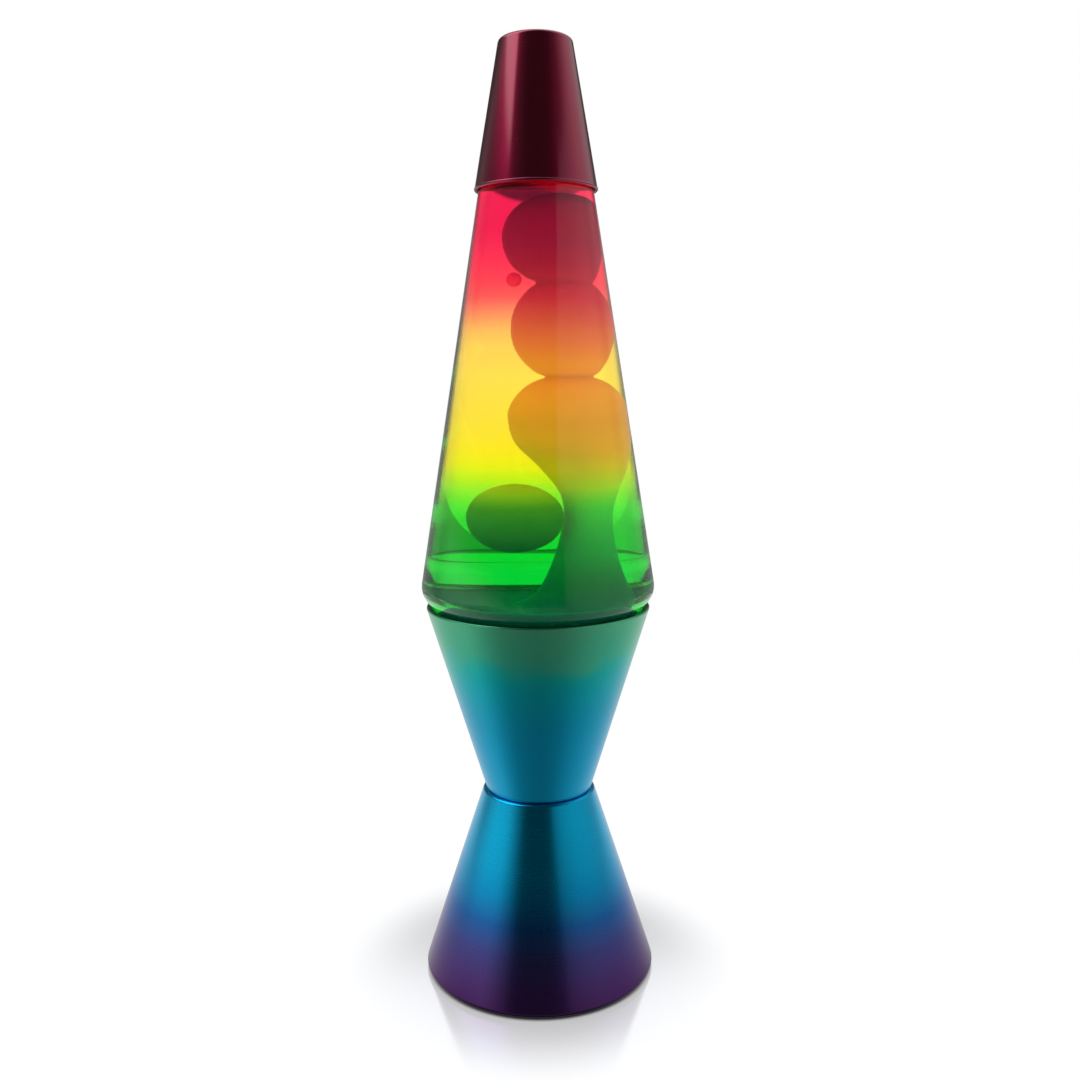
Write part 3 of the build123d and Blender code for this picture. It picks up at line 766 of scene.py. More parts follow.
coat_colours = [
    (124, 0.01, 0.74, 0.24), (158, 0.01, 0.75, 0.21), (165, 0.01, 0.77, 0.13), (172, 0.01, 0.78, 0.12),
    (182, 0.06, 0.82, 0.13), (190, 0.28, 0.86, 0.15), (194, 0.40, 0.88, 0.165), (198, 0.57, 0.90, 0.12),
    (202, 0.79, 0.94, 0.10), (206, 0.92, 0.925, 0.05), (211, 0.98, 0.89, 0.06), (216, 0.99, 0.87, 0.13),
    (228, 0.99, 0.86, 0.20), (242, 0.99, 0.855, 0.26), (254, 0.995, 0.79, 0.29), (260, 0.99, 0.70, 0.31),
    (267, 0.995, 0.49, 0.32), (272, 0.99, 0.31, 0.29), (278, 0.995, 0.22, 0.27), (287, 0.995, 0.15, 0.27),
    (298, 0.95, 0.09, 0.26), (350, 0.97, 0.11, 0.28)]
globe_foot = 121.5
globe_top = 350.2
glass_finish = clear_finish("lacquered_glass", globe_foot, globe_top, coat_colours, 1.5)
water_finish = clear_finish("clear_liquid", 0, 1000, [(0, 1, 1, 1), (1000, 0.98, 0.99, 1)], 1.36)

# %% [markdown]
# The outside of the globe is drawn by its corners. The inside is the same line moved in by the
# wall, and a straight bore takes it up through the neck.

# %% Globe
glass_wall = 2.6
globe_corners = [
    (0, 124.5), (20.0, 124.5), (25.5, globe_foot), (33.4, globe_foot), (42.1, 151.8), (46.9, 158.6),
    (20.6, 322.1), (12.2, 334.5), (12.2, 341.0), (13.3, 341.8), (13.3, globe_top), (9.6, globe_top)]
globe_outside = rounded(globe_corners, [2.5, 2.0, 6.0, 6.0, 9.0, 9.0, 4.0, 0.5, 0.5, 1.2], step=6)
inner_corners = beside(globe_corners[:9], glass_wall)[1:-1]
bore = inner_corners[-1][0]
globe_floor = inner_corners[0][1]
inside_corners = [(0, globe_floor)] + inner_corners + [(bore, globe_top)]
inside_radii = [4.0, 1.2, 3.6, 3.6, 6.6, 6.6, 5.0]
globe_inside = rounded(inside_corners, inside_radii + [0] * (len(inner_corners) - len(inside_radii)), step=6)
globe_outline = globe_outside[:-1] + [(bore + 0.8, globe_top)] + list(reversed(globe_inside))
piece(turned(globe_outline, closed=False, steps=192), "glass_globe", glass_finish, "globe",
      "globe_glass", "globe_bottle")
print("inner corners", [(round(r, 2), round(h, 2)) for r, h in inner_corners])

# %% [markdown]
# The liquid is drawn a tenth of a millimetre into the glass. The two surfaces then never leave a
# film of air between them, which would make the lamp look empty at a slant, and a ray that
# crosses both is bent as it is between glass and liquid.

# %% Liquid
into_glass = 0.1
liquid_level = 326.0


def below(points, level):
    """The part of an outline under a level, ending on it."""
    kept = []
    for a, b in zip(points, points[1:]):
        kept.append(a)
        if b[1] > level >= a[1]:
            share = (level - a[1]) / (b[1] - a[1])
            kept.append((a[0] + (b[0] - a[0]) * share, level))
            break
    return kept


liquid_side = below(beside(globe_inside, -into_glass), liquid_level)
liquid_side[0] = (0, liquid_side[0][1])
piece(turned(liquid_side + [(0, liquid_level)], closed=False, steps=192), "liquid_fill", water_finish,
      "globe", "clear_liquid", "liquid")

# %% [markdown]
# Warm wax is soft and round everywhere, with a low sheen, and light goes a few millimetres into
# it. A free blob is a ball that is stretched and pushed a little out of round by smooth noise.
# Blobs that hang together share narrow necks, so each is a skin over rings of edges, bridged one
# to the next, whose heights, radii and sideways places follow a smooth line. The wax's own colour
# is the same all through, and it is the lacquer's light on it that makes its colours, so its colour
# is painted light: a ramp over the height stands in for that light, darker at the pool and under
# the cap as painted shade. The oval blob on the left has a darker ramp of its own, also painted
# shade, the small drop is painted twice as light, and the pool is painted dark where it meets the
# glass, a painted shade under the shoulder.

# %% Wax
wax_colours = [
    (150, 0.01, 0.08, 0.9), (163, 0.005, 0.19, 0.8), (172, 0.005, 0.37, 0.95), (183, 0.01, 0.53, 0.95),
    (190, 0.05, 0.66, 0.7), (194, 0.28, 0.75, 0.4), (199, 0.74, 0.74, 0.1), (206, 0.82, 0.60, 0.05),
    (213, 0.76, 0.44, 0.03), (224, 0.70, 0.36, 0.01), (235, 0.84, 0.41, 0.01), (247, 0.86, 0.34, 0.04),
    (254, 0.78, 0.22, 0.15), (267, 0.62, 0.12, 0.20), (272, 0.58, 0.07, 0.24), (284, 0.34, 0.01, 0.18),
    (292, 0.27, 0.005, 0.17), (304, 0.28, 0.005, 0.15)]
oval_centre = (-7.2, -9, 188)
oval_size = (15.4, 14.0, 13.2)
bead_centre = (-6.8, -4, 278.2)
bead_size = (2.35, 2.35, 2.7)
wax = new_finish("soft_wax")
wax_cloud = wax.speckle(0.012, 3.0)
wax_fine = wax.speckle(0.0015, 3.0)
# Painted shade: the oval blob's ramp is darker than the rest, for the shade where less light reaches it.
oval_painted_shade_stops = [
    (174, 0.0, 0.12, 0.40), (180, 0.0, 0.16, 0.39), (187, 0.005, 0.21, 0.30), (193, 0.05, 0.28, 0.10),
    (198, 0.30, 0.56, 0.03), (202, 0.34, 0.56, 0.02)]
wax_foot = 140
wax_top = 320
# Painted shade: the dark colour of the pool where it meets the glass under the shoulder.
painted_shade_at_glass = (0.005, 0.075, 0.18, 1)


def wax_within(centre, radii, edge=0.1):
    """1 inside an ellipsoid in millimetres and 0 beyond its edge."""
    off = wax.node("VectorMath", {"operation": "SUBTRACT"}, {0: wax.place(), 1: Vector(centre) * MM})
    scaled = wax.node("VectorMath", {"operation": "DIVIDE"}, {0: off, 1: Vector(radii) * MM})
    length = wax.node("VectorMath", {"operation": "LENGTH"}, {0: scaled}, output="Value")
    return length.under(1.0, 1.0 + edge)


# Painted light: the wax's colour is a ramp of the lacquer's light over the height, with painted shade at the pool and
# under the cap.
painted_wax_light = wax.blend(wax_within(oval_centre, [1.04 * size for size in oval_size]),
                     wax.over_height(wax_colours, wax_foot, wax_top),
                     wax.over_height(oval_painted_shade_stops, wax_foot, wax_top))
# Painted light: the small drop is painted twice as light as the wax round it.
painted_wax_light = wax.tinted(painted_wax_light, wax_within(bead_centre, [1.1 * size for size in bead_size]), 1.0, 2.0)
# Painted shade: beyond a radius of 38.5 millimetres the pool is painted dark.
painted_wax_light = wax.blend(wax_within((0, 0, 150), (38.5, 38.5, 1000), 0.026), painted_shade_at_glass, painted_wax_light)
wax_finish = wax.output(wax.surface(
    Base_Color=wax.tinted(painted_wax_light, wax_cloud, 0.93, 1.05), Roughness=wax_cloud * 0.1 + 0.4,
    Specular_IOR_Level=0.1, Subsurface_Weight=0.35, Subsurface_Scale=0.006, Subsurface_Radius=(1.0, 0.9, 0.8),
    Normal=wax.bump(wax_fine, 0.15, 0.00005)))


def drop(centre, size, seed=0.0, uneven=0.02):
    """A free blob of wax in millimetres, a little out of round."""
    form = bmesh.new()
    bmesh.ops.create_icosphere(form, subdivisions=5, radius=1)
    for vert in form.verts:
        push = noise.noise(vert.co * 1.3 + Vector((seed, 0, 0)))
        vert.co *= 1 + uneven * push
    bmesh.ops.scale(form, verts=form.verts, vec=Vector(size) * MM)
    bmesh.ops.translate(form, verts=form.verts, vec=Vector(centre) * MM)
    return form


def ring(form, radius, centre, segments=96):
    """A ring of edges at a place, in millimetres."""
    made = bmesh.ops.create_circle(form, cap_ends=False, radius=radius * MM, segments=segments,
                                   matrix=Matrix.Translation(Vector(centre) * MM))
    return list({edge for vert in made["verts"] for edge in vert.link_edges})


def smooth_line(points, steps):
    """Points on a smooth line through the given ones, which it leaves and enters as a mirror image."""
    first = Vector((2 * points[0][0] - points[1][0], *points[1][1:]))
    last = Vector((2 * points[-1][0] - points[-2][0], *points[-2][1:]))
    line = [first] + [Vector(p) for p in points] + [last]
    smooth = []
    for before, a, b, after in zip(line, line[1:], line[2:], line[3:]):
        for n in range(steps):
            t = n / steps
            smooth.append(0.5 * ((2 * a) + (b - before) * t + (2 * before - 5 * a + 4 * b - after) * t ** 2
                                 + (3 * a - before - 3 * b + after) * t ** 3))
    return smooth + [line[-2]]


def skin(stations, back, steps=6, seed=0.0, uneven=0.012):
    """Rings of a height, radius and sideways place joined into a blob with closed ends."""
    form = bmesh.new()
    previous = None
    for height, radius, side in smooth_line(stations, steps):
        current = ring(form, max(radius, 0.05), (side, back, height))
        if previous:
            bmesh.ops.bridge_loops(form, edges=previous + current)
        previous = current
    bmesh.ops.holes_fill(form, edges=[e for e in form.edges if e.is_boundary], sides=0)
    bmesh.ops.recalc_face_normals(form, faces=form.faces)
    low, high = stations[0][0], stations[-1][0]
    for vert in form.verts:
        share = (vert.co.z / MM - low) / (high - low)
        push = noise.noise(vert.co * 60 + Vector((seed, 0, 0))) * uneven * min(1, 8 * share, 8 * (1 - share))
        vert.co.x += (vert.co.x - stations[len(stations) // 2][2] * MM) * push
        vert.co.y += (vert.co.y - back * MM) * push
    return form


wax_back = 2.5
upper_neck = (277.1, 7.9, 7.6)
lower_neck = (241.4, 6.9, 9.0)
top_stations = [
    upper_neck, (279.5, 9.9, 6.4), (283.5, 12.0, 5.2), (288.5, 13.2, 4.5), (293.6, 13.6, 4.2), (299.0, 13.3, 4.5),
    (303.6, 12.2, 5.2), (307.0, 10.2, 6.0), (309.3, 7.4, 6.4), (310.3, 4.0, 6.5), (310.6, 1.6, 6.5),
    (310.65, 0.0, 6.5)]
middle_stations = [
    lower_neck, (243.3, 9.2, 8.4), (248.0, 12.2, 7.6), (253.5, 14.0, 7.2), (259.0, 14.6, 7.2), (265.0, 14.1, 7.2),
    (270.5, 12.3, 7.2), (274.8, 9.7, 7.4), upper_neck]
piece(skin(top_stations, wax_back, seed=3), "wax_top", wax_finish, "globe", "wax", "wax_blob_top")
piece(skin(middle_stations, wax_back, seed=7), "wax_middle", wax_finish, "globe", "wax", "wax_blob_middle")
piece(drop(oval_centre, oval_size, seed=11), "wax_left", wax_finish, "globe", "wax", "wax_blob_left")
piece(drop(bead_centre, bead_size, seed=1, uneven=0.01), "wax_drop", wax_finish, "globe", "wax",
      "wax_bead")

# %% [markdown]
# The column is a stem that the pool feeds, a skin like the blobs above it. The pool fills the foot
# of the globe up to a level that is seen as a line through the glass. It wets the glass: its skin
# is drawn just into the wall, and in front it clings a little way up the inside of the shoulder.

# %% Column and pool
pool_level = 151.6
cling_top = 158.2
cling = 0.8
pool_under = pool_level - 0.3
column_stations = [
    (150.0, 24.0, 10.6), (152.6, 18.4, 12.0), (158.5, 13.2, 13.4), (173.0, 8.9, 14.0), (187.5, 7.2, 14.6),
    (197.0, 8.7, 14.8), (207.0, 13.2, 13.2), (216.0, 16.9, 10.4), (226.0, 17.4, 8.9), (232.0, 16.0, 8.8),
    (236.9, 12.9, 8.8), (239.6, 9.9, 8.9), lower_neck]
column_form = skin(column_stations, wax_back, seed=5)

glass_side = beside(globe_inside, -0.2)


def glass_reach(height):
    """The radius of the wetted wall at a height, in millimetres."""
    for a, b in zip(glass_side, glass_side[1:]):
        if a[1] <= height < b[1] and a[0] > 20:
            return a[0] + (b[0] - a[0]) * (height - a[1]) / (b[1] - a[1])
    return 0.0


pool_side = below(glass_side, pool_level)
pool_side[0] = (0, pool_side[0][1])
cling_side = [pool_level + (cling_top - pool_level) * n / 8 for n in range(9)]
pool_outline = (pool_side[:-1] + [(glass_reach(h), h) for h in cling_side]
                + [(glass_reach(h) - cling * (1 + n / 8), h) for n, h in enumerate(reversed(cling_side[:-1]))]
                + [(40.0, pool_under), (30.0, pool_under), (0, pool_under)])
pool_form = turned(pool_outline, closed=False, steps=144)
for vert in pool_form.verts:
    height = vert.co.z / MM
    reach = vert.co.xy.length / MM
    if height > pool_level and reach > 38:
        front = (-vert.co.y / vert.co.xy.length - 0.25) / 0.45
        share = min(1.0, max(0.02, front))
        lower = pool_level + (height - pool_level) * share
        vert.co.xy *= (glass_reach(lower) - (glass_reach(height) - reach)) / reach
        vert.co.z = lower * MM
piece(joined(column_form, pool_form), "wax_pool_and_column", wax_finish, "globe", "wax", "wax_column")

# %% [markdown]
# A fine wire coil lies in a ring on the globe's floor, under the wax. It spreads the heat and
# helps the wax to break away. It is a spring bent into a ring: a helix about a circle.

# %% Coil
coil_outer = 3.0 * MM
coil_ring_radius = (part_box("coil_ring")[1].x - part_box("coil_ring")[0].x) / 2 - coil_outer
coil_height = (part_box("coil_ring")[1].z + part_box("coil_ring")[0].z) / 2
coil_turns = 56
coil_steps = 12
coil_wire = 0.35 * MM
coil_radius = coil_outer - coil_wire
coil_points = []
for n in range(coil_turns * coil_steps):
    turn = 2 * math.pi * n / coil_steps
    angle = turn / coil_turns
    reach = coil_ring_radius + coil_radius * math.cos(turn)
    coil_points.append((reach * math.cos(angle), reach * math.sin(angle), coil_height + coil_radius * math.sin(turn)))

# %% [markdown]
# Small metal pieces are plain steel, brass, solder and enamelled sheet. Each has its own colour,
# a light wear in its roughness and fine tool marks, so none is one flat colour.

# %% Small finishes
def plain_metal(name, colour, roughness, depth=0.00002):
    """Bare or plated metal with tool marks and a little wear."""
    finish = new_finish(name)
    marks = finish.speckle(0.0004, 3.0)
    wear = finish.speckle(0.006, 4.0)
    shade = finish.tinted(finish.tinted(colour, marks, 0.9, 1.08), wear, 0.85, 1.1)
    return finish.output(finish.surface(
        Base_Color=shade, Metallic=1.0, Roughness=wear * 0.2 + (roughness - 0.1),
        Normal=finish.bump(marks, 0.4, depth)))


def soft_matter(name, colour, roughness, depth=0.00004):
    """Rubber, moulding or liner: a dull even surface with a fine skin."""
    finish = new_finish(name)
    grain = finish.speckle(0.0003, 3.0)
    cloud = finish.speckle(0.008, 3.0)
    shade = finish.tinted(finish.tinted(colour, grain, 0.85, 1.15), cloud, 0.9, 1.1)
    return finish.output(finish.surface(
        Base_Color=shade, Roughness=cloud * 0.15 + (roughness - 0.07), Normal=finish.bump(grain, 0.5, depth)))


steel = plain_metal("zinc_steel", (0.60, 0.60, 0.61), 0.34)
brass = plain_metal("brass", (0.80, 0.58, 0.26), 0.27)
solder = plain_metal("solder", (0.62, 0.62, 0.62), 0.38, depth=0.00005)
tungsten = plain_metal("tungsten", (0.28, 0.28, 0.30), 0.42)
crown_steel = plain_metal("tinned_crown", (0.80, 0.79, 0.76), 0.26)
plate_paint = soft_matter("black_enamel", (0.022, 0.022, 0.025), 0.42)
rubber = soft_matter("black_rubber", (0.028, 0.027, 0.026), 0.72)
grommet_rubber = soft_matter("grommet_rubber", (0.022, 0.021, 0.021), 0.55)
liner_matter = soft_matter("liner", (0.72, 0.69, 0.62), 0.6)
moulding = soft_matter("dark_moulding", (0.060, 0.042, 0.034), 0.36, depth=0.00002)
dark_glass = soft_matter("dark_glass", (0.02, 0.02, 0.03), 0.12, depth=0.000005)
clear_bulb = clear_finish("bulb_glass", 0, 1000, [(0, 0.97, 0.98, 0.98), (1000, 0.97, 0.98, 0.98)], 1.5)

# %% [markdown]
# The coil is the first piece of steel. The next is the ring under the stand's flange, which keeps
# the neck of the cup in it.

# %% Coil wire and lock ring
lock_top = waist_height - sheet
lock_outline = [(19.85, lock_top - 1.2), (21.5, lock_top - 1.2), (21.5, lock_top), (19.85, lock_top)]
piece(wire(coil_points, coil_wire, sides=6, closed=True), "wire_coil", steel, "globe", "steel", "coil_ring")
piece(turned(lock_outline, steps=96), "lock_ring", steel, "base", "steel", "waist_lock_ring")

# %% [markdown]
# The bottle is closed like a drink bottle: a tinned crown with twenty-one flutes pressed round the
# glass finish, over a soft liner. The flutes are pressed into a turned blank by moving its skirt
# in and out with the angle.

# %% Crown and liner
liner_low = globe_top
crown_low = 346.2
crown_top = 351.6
crown_sheet = 0.35
flutes = 21


def pressed(form, low, high, depth):
    """The flutes of a crown: the skirt waves in and out, most at its edge."""
    for vert in form.verts:
        share = (high * MM - vert.co.z) / ((high - low) * MM)
        if share > 0 and vert.co.xy.length > 0.001:
            angle = math.atan2(vert.co.y, vert.co.x)
            wave = abs(math.cos(angle * flutes / 2)) ** 0.7 * min(share, 1) * depth * MM
            vert.co.xy *= (vert.co.xy.length - wave) / vert.co.xy.length
    return form


crown_path = rounded([(15.35, crown_low + 0.2), (14.6, crown_top - 2.6), (14.0, crown_top - crown_sheet / 2),
                      (0, crown_top - crown_sheet / 2)], [2.0, 1.4], step=9)
crown_path = [crown_path[0], (15.2, crown_low + 0.9), (15.0, crown_low + 1.7)] + crown_path[1:]
crown_form = turned(sheet_outline(crown_path, crown_sheet, end_on_axis=True), closed=False, steps=flutes * 10)
piece(pressed(crown_form, crown_low, crown_top - 2.0, 0.9), "crown", crown_steel, "globe",
      "crown_metal", "crown_cap")
piece(turned([(0, liner_low), (12.5, liner_low), (12.6, liner_low + 0.1), (12.6, liner_low + 0.7),
              (12.5, liner_low + 0.8), (0, liner_low + 0.8)], closed=False, steps=96),
      "soft_liner", liner_matter, "globe", "liner_rubber", "crown_liner")

# %% [markdown]
# Under the plate the lamp stands on four rubber feet. The plate is enamelled sheet with eight
# vents that let cool air in to the bulb, three screws and the nut of the pipe.

# %% Foot plate
plate_low = 5.0
plate_high = 6.0
plate_radius = 41.2
screw_circle = 37.5
vent_inner = 16.5
vent_outer = 31.5
vent_half = 1.6


def slot_cutter():
    """A round-ended slot that lies along a radius: a cylinder pulled apart down its middle."""
    inner_end = (vent_inner + vent_half) * MM
    form = rod(vent_half, 4, 24, Matrix.Translation((inner_end, 0, (plate_low + plate_high) / 2 * MM))
               @ Matrix.Rotation(math.radians(7.5), 4, "Z"))
    for vert in form.verts:
        if vert.co.x > inner_end:
            vert.co.x += (vent_outer - vent_inner - 2 * vent_half) * MM
    return form


plate_form = turned([(5.25, plate_low), (plate_radius - 0.2, plate_low), (plate_radius, plate_low + 0.2),
                     (plate_radius, plate_high - 0.2), (plate_radius - 0.2, plate_high), (5.25, plate_high)])
plate_form = cut(plate_form, copies_around(slot_cutter(), 8, 22.5))
screw_hole = rod(1.75, 6, 32, Matrix.Translation((screw_circle * MM, 0, plate_low * MM)))
piece(cut(plate_form, copies_around(screw_hole, 3, 30)), "foot_plate", plate_paint, "base", "plate_paint",
      "bottom_plate")

foot_circle = 32
foot_outline = rounded([(0, 0), (5.5, 0), (5.5, 5.0), (0, 5.0)], [0.7, 0.0], step=15)
for number in range(4):
    foot_form = turned(foot_outline, closed=False, steps=48)
    turn = math.radians(45 + 90 * number)
    spot = Vector((math.cos(turn), math.sin(turn), 0)) * foot_circle * MM
    bmesh.ops.translate(foot_form, verts=foot_form.verts, vec=spot)
    piece(foot_form, f"rubber_foot_{number + 1}", rubber, "base", "foot_rubber", f"foot_{number + 1}")

# %% [markdown]
# A pan-head screw is a domed head with a cross recess on a threaded shank. A thread is a turned
# rod whose radius waves along the height and goes once round with the angle.

# %% Threads and screws
def threaded(form, pitch, depth, low, high, walls, run=None):
    """A thread pressed into the walls between two radii, up to two heights, with a run-out at both."""
    run = run or pitch
    for vert in form.verts:
        reach = vert.co.xy.length
        height = vert.co.z / MM
        if low < height < high and walls[0] * MM < reach < walls[1] * MM:
            wave = 0.5 - 0.5 * math.cos(2 * math.pi * height / pitch - math.atan2(vert.co.y, vert.co.x))
            fade = min(1, (height - low) / run, (high - height) / run)
            vert.co.xy *= (reach - wave * fade * depth * MM) / reach
    return form


def wall_points(radius, low, high, spacing):
    """Points up a straight wall, near enough to carry a thread."""
    count = max(1, round(abs(high - low) / spacing))
    return [(radius, low + (high - low) * n / count) for n in range(count + 1)]


head_low = 3.4
head_top = 5.0
head_radius = 2.8
shank_radius = 1.5
shank_tip = 12.0


def screw_form():
    """One screw with its head down, at the axis."""
    head = rounded([(0, head_low), (head_radius, head_low), (head_radius, head_top), (shank_radius, head_top)],
                   [0.9, 0], step=12)
    shank = wall_points(shank_radius, head_top, shank_tip, 0.0875)[1:]
    form = turned(head + shank + [(0, shank_tip)], closed=False, steps=32)
    threaded(form, 0.7, 0.25, 5.6, 12.4, (1.45, 1.55))
    for size in ((3.0, 0.6), (0.6, 3.0)):
        bar = bmesh.new()
        bmesh.ops.create_cube(bar, size=1, matrix=Matrix.Translation((0, 0, head_low * MM)) @ Matrix.Diagonal(
            (size[0] * MM, size[1] * MM, 1.6 * MM, 1)))
        form = cut(form, bar)
    bmesh.ops.translate(form, verts=form.verts, vec=(screw_circle * MM, 0, 0))
    return form


piece(copies_around(screw_form(), 3, 30), "cross_screws", steel, "base", "steel", "plate_screws", sharp=30)

pipe_low = 1.4
pipe_high = 41.0
pipe_outline = [(3.6, pipe_low), (4.7, pipe_low)] + wall_points(5.0, pipe_low + 0.3, pipe_high - 0.3, 0.125) + [
    (4.7, pipe_high), (3.6, pipe_high)]
pipe_form = threaded(turned(pipe_outline, steps=48), 1.0, 0.4, pipe_low + 0.2, pipe_high - 0.2, (4.95, 5.05))
piece(pipe_form, "threaded_pipe", steel, "base", "steel", "lamp_pipe", sharp=50)


def nut_form(low, high):
    """A hexagon nut with turned-down corners: a hexagon and a cone keep what they share."""
    hexagon = rod(8.083, high - low, 6, Matrix.Translation((0, 0, (low + high) / 2 * MM)))
    turned_off = turned([(6.9, low - 1), (12, low - 1), (12, high + 1), (6.9, high + 1), (8.3, high - 0.55),
                         (8.3, low + 0.55)], steps=72)
    bore_form = turned([(0, low - 1), (5.05, low - 1), (5.05, high + 1), (0, high + 1)], closed=False, steps=48)
    return cut(cut(hexagon, turned_off), bore_form)


for name, node, low in (("nut_under", "pipe_nut_lower", 2.0), ("nut_over", "pipe_nut_upper", 7.0)):
    piece(nut_form(low, low + 3.0), name, steel, "base", "steel", node, sharp=25)
piece(turned([(5.25, 6.0), (8.9, 6.0), (9.0, 6.1), (9.0, 6.9), (8.9, 7.0), (5.25, 7.0)], steps=72),
      "washer", steel, "base", "steel", "pipe_washer")

# %% [markdown]
# The tabs of the plate are plain bent strips. The frame's own piece is as good as a drawn one, so
# it stays and only gets its finish.

# %% Tabs
for material_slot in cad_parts["plate_tabs"].material_slots:
    material_slot.material = steel

# %% [markdown]
# The grommet is a rubber bush that is pushed into the hole in the stand. Its two flanges grip the
# sheet, and its bore keeps the lead off the edge. It is turned like the rest, then laid on the
# slanting wall.

# %% Grommet
grommet_bore = 4.0
grommet_body = 4.9
flange_radius = 6.6
flange_thick = 1.4
outer_face = 0.5 + flange_thick
wall_curve = flange_radius ** 2 / (2 * inlet_radius)
inner_face = -(0.5 + wall_curve + flange_thick)
grommet_outline = rounded(
    [(grommet_bore, inner_face), (flange_radius, inner_face), (flange_radius, inner_face + flange_thick),
     (grommet_body, inner_face + flange_thick), (grommet_body, 0.5), (flange_radius, 0.5),
     (flange_radius, outer_face), (grommet_bore, outer_face), (grommet_bore, 0)],
    [0.4, 0.3, 0.0, 0.0, 0.3, 0.7, 0.5], step=15)
grommet_form = turned(grommet_outline, steps=64)
bmesh.ops.transform(grommet_form, matrix=inlet_place, verts=grommet_form.verts)
piece(grommet_form, "lead_grommet", grommet_rubber, "base", "grommet_rubber", "inlet_grommet")

# %% [markdown]
# The lampholder is a dark moulded cup on the pipe. It holds a thin brass shell with a rolled
# thread, and a sprung leaf for the bulb's tip. The thread is so coarse that it shows as rings.

# %% Lampholder
holder_outline = (
    rounded([(5.25, 41.0), (5.25, 36.0), (8.5, 36.0), (8.5, 41.5), (12.5, 41.5), (12.5, 66.0), (9.3, 66.0),
             (9.3, 45.0), (0, 45.0)], [0, 1.0, 1.0, 1.0, 1.0, 0.4, 0], step=12)
    + [(0, 41.0)])
holder_form = turned(holder_outline, closed=False, steps=96)
terminal_holes = bmesh.new()
for side in (-1, 1):
    rod(1.65, 6, 24, Matrix.Translation((side * 12.75 * MM, 0, 54 * MM)) @ Matrix.Rotation(math.pi / 2, 4, "Y"),
        form=terminal_holes)
piece(cut(holder_form, terminal_holes), "moulded_holder", moulding, "base", "holder_moulding",
      "lampholder_body", sharp=35)

thread_pitch = 2.8
thread_depth = 0.35
shell_inner = 8.65
shell_outer = 9.05
shell_low = 45.0
shell_high = 65.5
shell_outline = ([(5.45, shell_low), (8.6, shell_low)] + wall_points(shell_outer, shell_low + 0.45, shell_high, 0.35)
                 + wall_points(shell_inner, shell_high, shell_low + 0.7, 0.35)
                 + [(8.35, shell_low + 0.4), (5.45, shell_low + 0.4)])
shell_form = threaded(turned(shell_outline, steps=72), thread_pitch, -0.18, shell_low + 1, shell_high - 1,
                      (8.62, 10), run=2)
piece(shell_form, "threaded_shell", brass, "base", "brass", "lampholder_shell", sharp=50)

for node in ("centre_contact", "terminal_screws"):
    for material_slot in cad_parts[node].material_slots:
        material_slot.material = brass

# %% [markdown]
# The bulb is a small clear one. Its brass cap has the same coarse thread, and dark glass parts the
# cap from the solder tip. Inside stand a glass stem, two wires and a coiled filament. They show
# when the globe is lifted out of the cup.

# %% Bulb
bulb_bottom = 46.6
bulb_cap_low = 50.2
bulb_cap_high = 65.2
bulb_cap_outer = 8.35
bulb_cap_inner = 7.95
stem_base = 61.2
stem_top = 78.7
bulb_top = 105.05
envelope_path = rounded([(7.25, stem_base), (7.25, 66.6), (17.0, 83.6), (17.0, bulb_top), (0, bulb_top)],
                        [8.0, 14.0, 15.0], step=5)
piece(turned(sheet_outline(envelope_path, 0.7, end_on_axis=True), closed=False, steps=96),
      "blown_bulb", clear_bulb, "bulb", "bulb_glass", "bulb_envelope")

bulb_cap_outline = (
    [(4.9, bulb_cap_low), (7.35, bulb_cap_low)] + wall_points(bulb_cap_outer, bulb_cap_low + 1.0, bulb_cap_high, 0.3)
    + wall_points(bulb_cap_inner, bulb_cap_high, bulb_cap_low + 1.2, 0.3)
    + [(7.2, bulb_cap_low + 0.4), (4.9, bulb_cap_low + 0.4)])
bulb_cap_form = threaded(turned(bulb_cap_outline, steps=72), thread_pitch, thread_depth, bulb_cap_low + 0.8,
                         bulb_cap_high - 1.2, (7.9, 9), run=1.5)
piece(bulb_cap_form, "bulb_thread", brass, "bulb", "brass", "bulb_screw_cap", sharp=50)

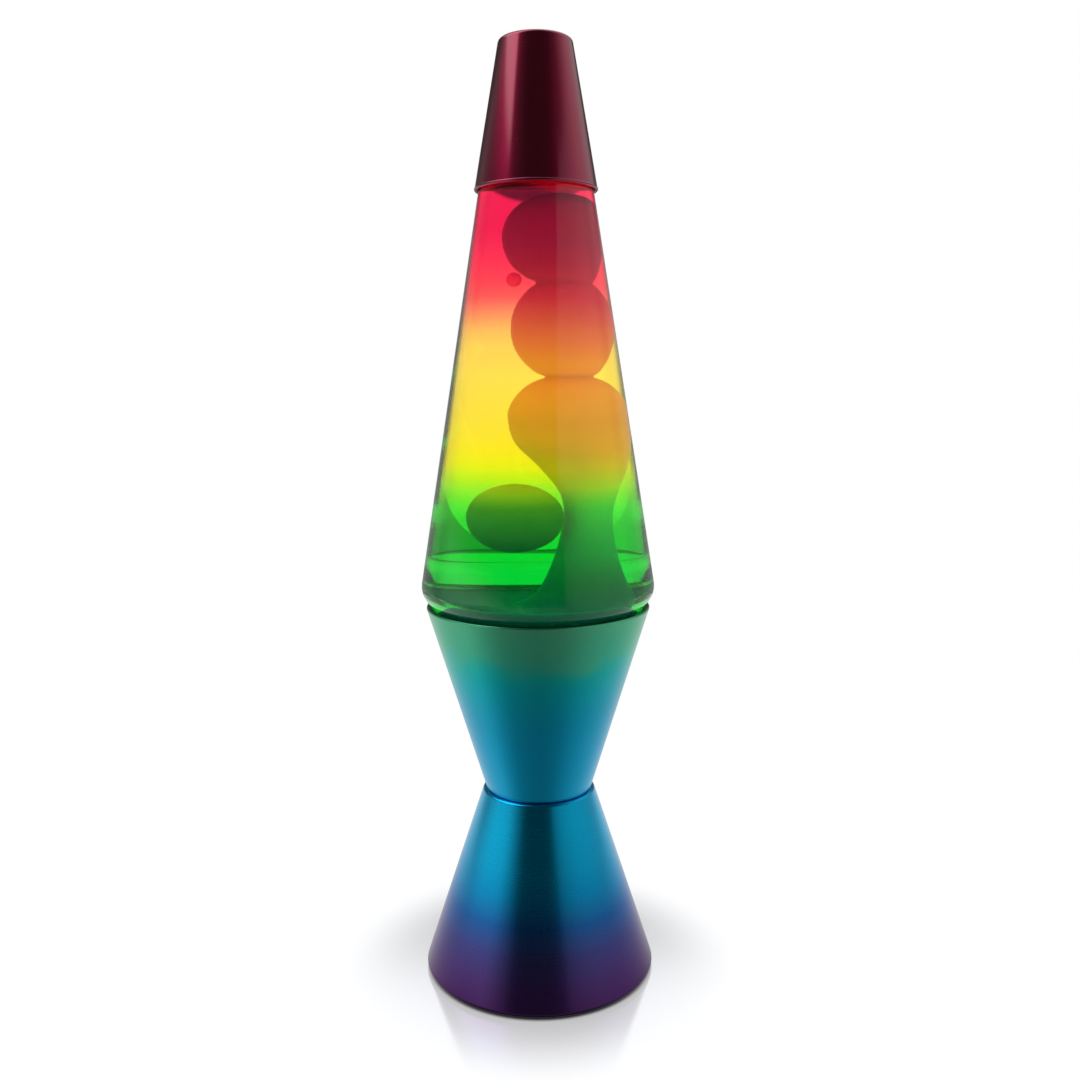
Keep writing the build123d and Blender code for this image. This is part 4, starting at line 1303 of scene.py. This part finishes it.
insulator_outline = rounded(
    [(2.55, 47.4), (4.35, 47.4), (6.95, bulb_cap_low), (2.55, bulb_cap_low), (2.55, 47.8)], [0.4, 0.2, 0.0], step=15)
piece(turned(insulator_outline, steps=64), "bulb_dark_glass", dark_glass, "bulb", "dark_glass", "bulb_insulator")
tip_outline = rounded(
    [(0, bulb_bottom), (2.3, bulb_bottom), (2.3, bulb_cap_low), (0, bulb_cap_low)], [0.9, 0.0], step=12)
piece(turned(tip_outline, closed=False, steps=48), "solder_tip", solder, "bulb", "solder", "bulb_tip")
stem_outline = rounded([(0, stem_base), (6.6, stem_base), (6.6, stem_base + 1.2), (1.9, stem_base + 3.5),
                        (1.9, stem_top - 4.0), (1.5, stem_top), (0, stem_top)], [0.3, 0.3, 2.0, 1.0, 0.7], step=12)
stem_form = turned(stem_outline, closed=False, steps=48)
for vert in stem_form.verts:
    squeeze = max(0.0, min(1.0, (vert.co.z / MM - (stem_top - 6.5)) / 3.0))
    vert.co.y *= 1 - 0.55 * squeeze
piece(stem_form, "glass_stem", clear_bulb, "bulb", "bulb_glass", "bulb_stem")

lead_top = 85.2
leads_forms = []
for side in (-1, 1):
    run = [Vector((side * 1.05, 0, stem_top)), Vector((side * 1.1, 0, stem_top + 1.2)),
           Vector((side * 1.6, 0, stem_top + 2.2)), Vector((side * 5.4, 0, lead_top))]
    leads_forms.append(wire([p * MM for p in run], 0.35 * MM, sides=12))
piece(joined(*leads_forms), "lead_wires", steel, "bulb", "steel", "bulb_leads")

filament_turns = 46
turn_steps = 8
filament_length = 8.9
filament_sag = 1.5
filament_radius = 0.22
filament_points = []
for n in range(filament_turns * turn_steps + 1):
    share = n / (filament_turns * turn_steps)
    along = -filament_length / 2 + filament_length * share
    middle = lead_top - filament_sag * (1 - (2 * share - 1) ** 2)
    turn = 2 * math.pi * n / turn_steps
    filament_points.append(
        Vector((along, filament_radius * math.cos(turn), middle + filament_radius * math.sin(turn))) * MM)
piece(wire(filament_points, 0.05 * MM, sides=4), "coiled_filament", tungsten, "bulb", "filament",
      "bulb_filament")
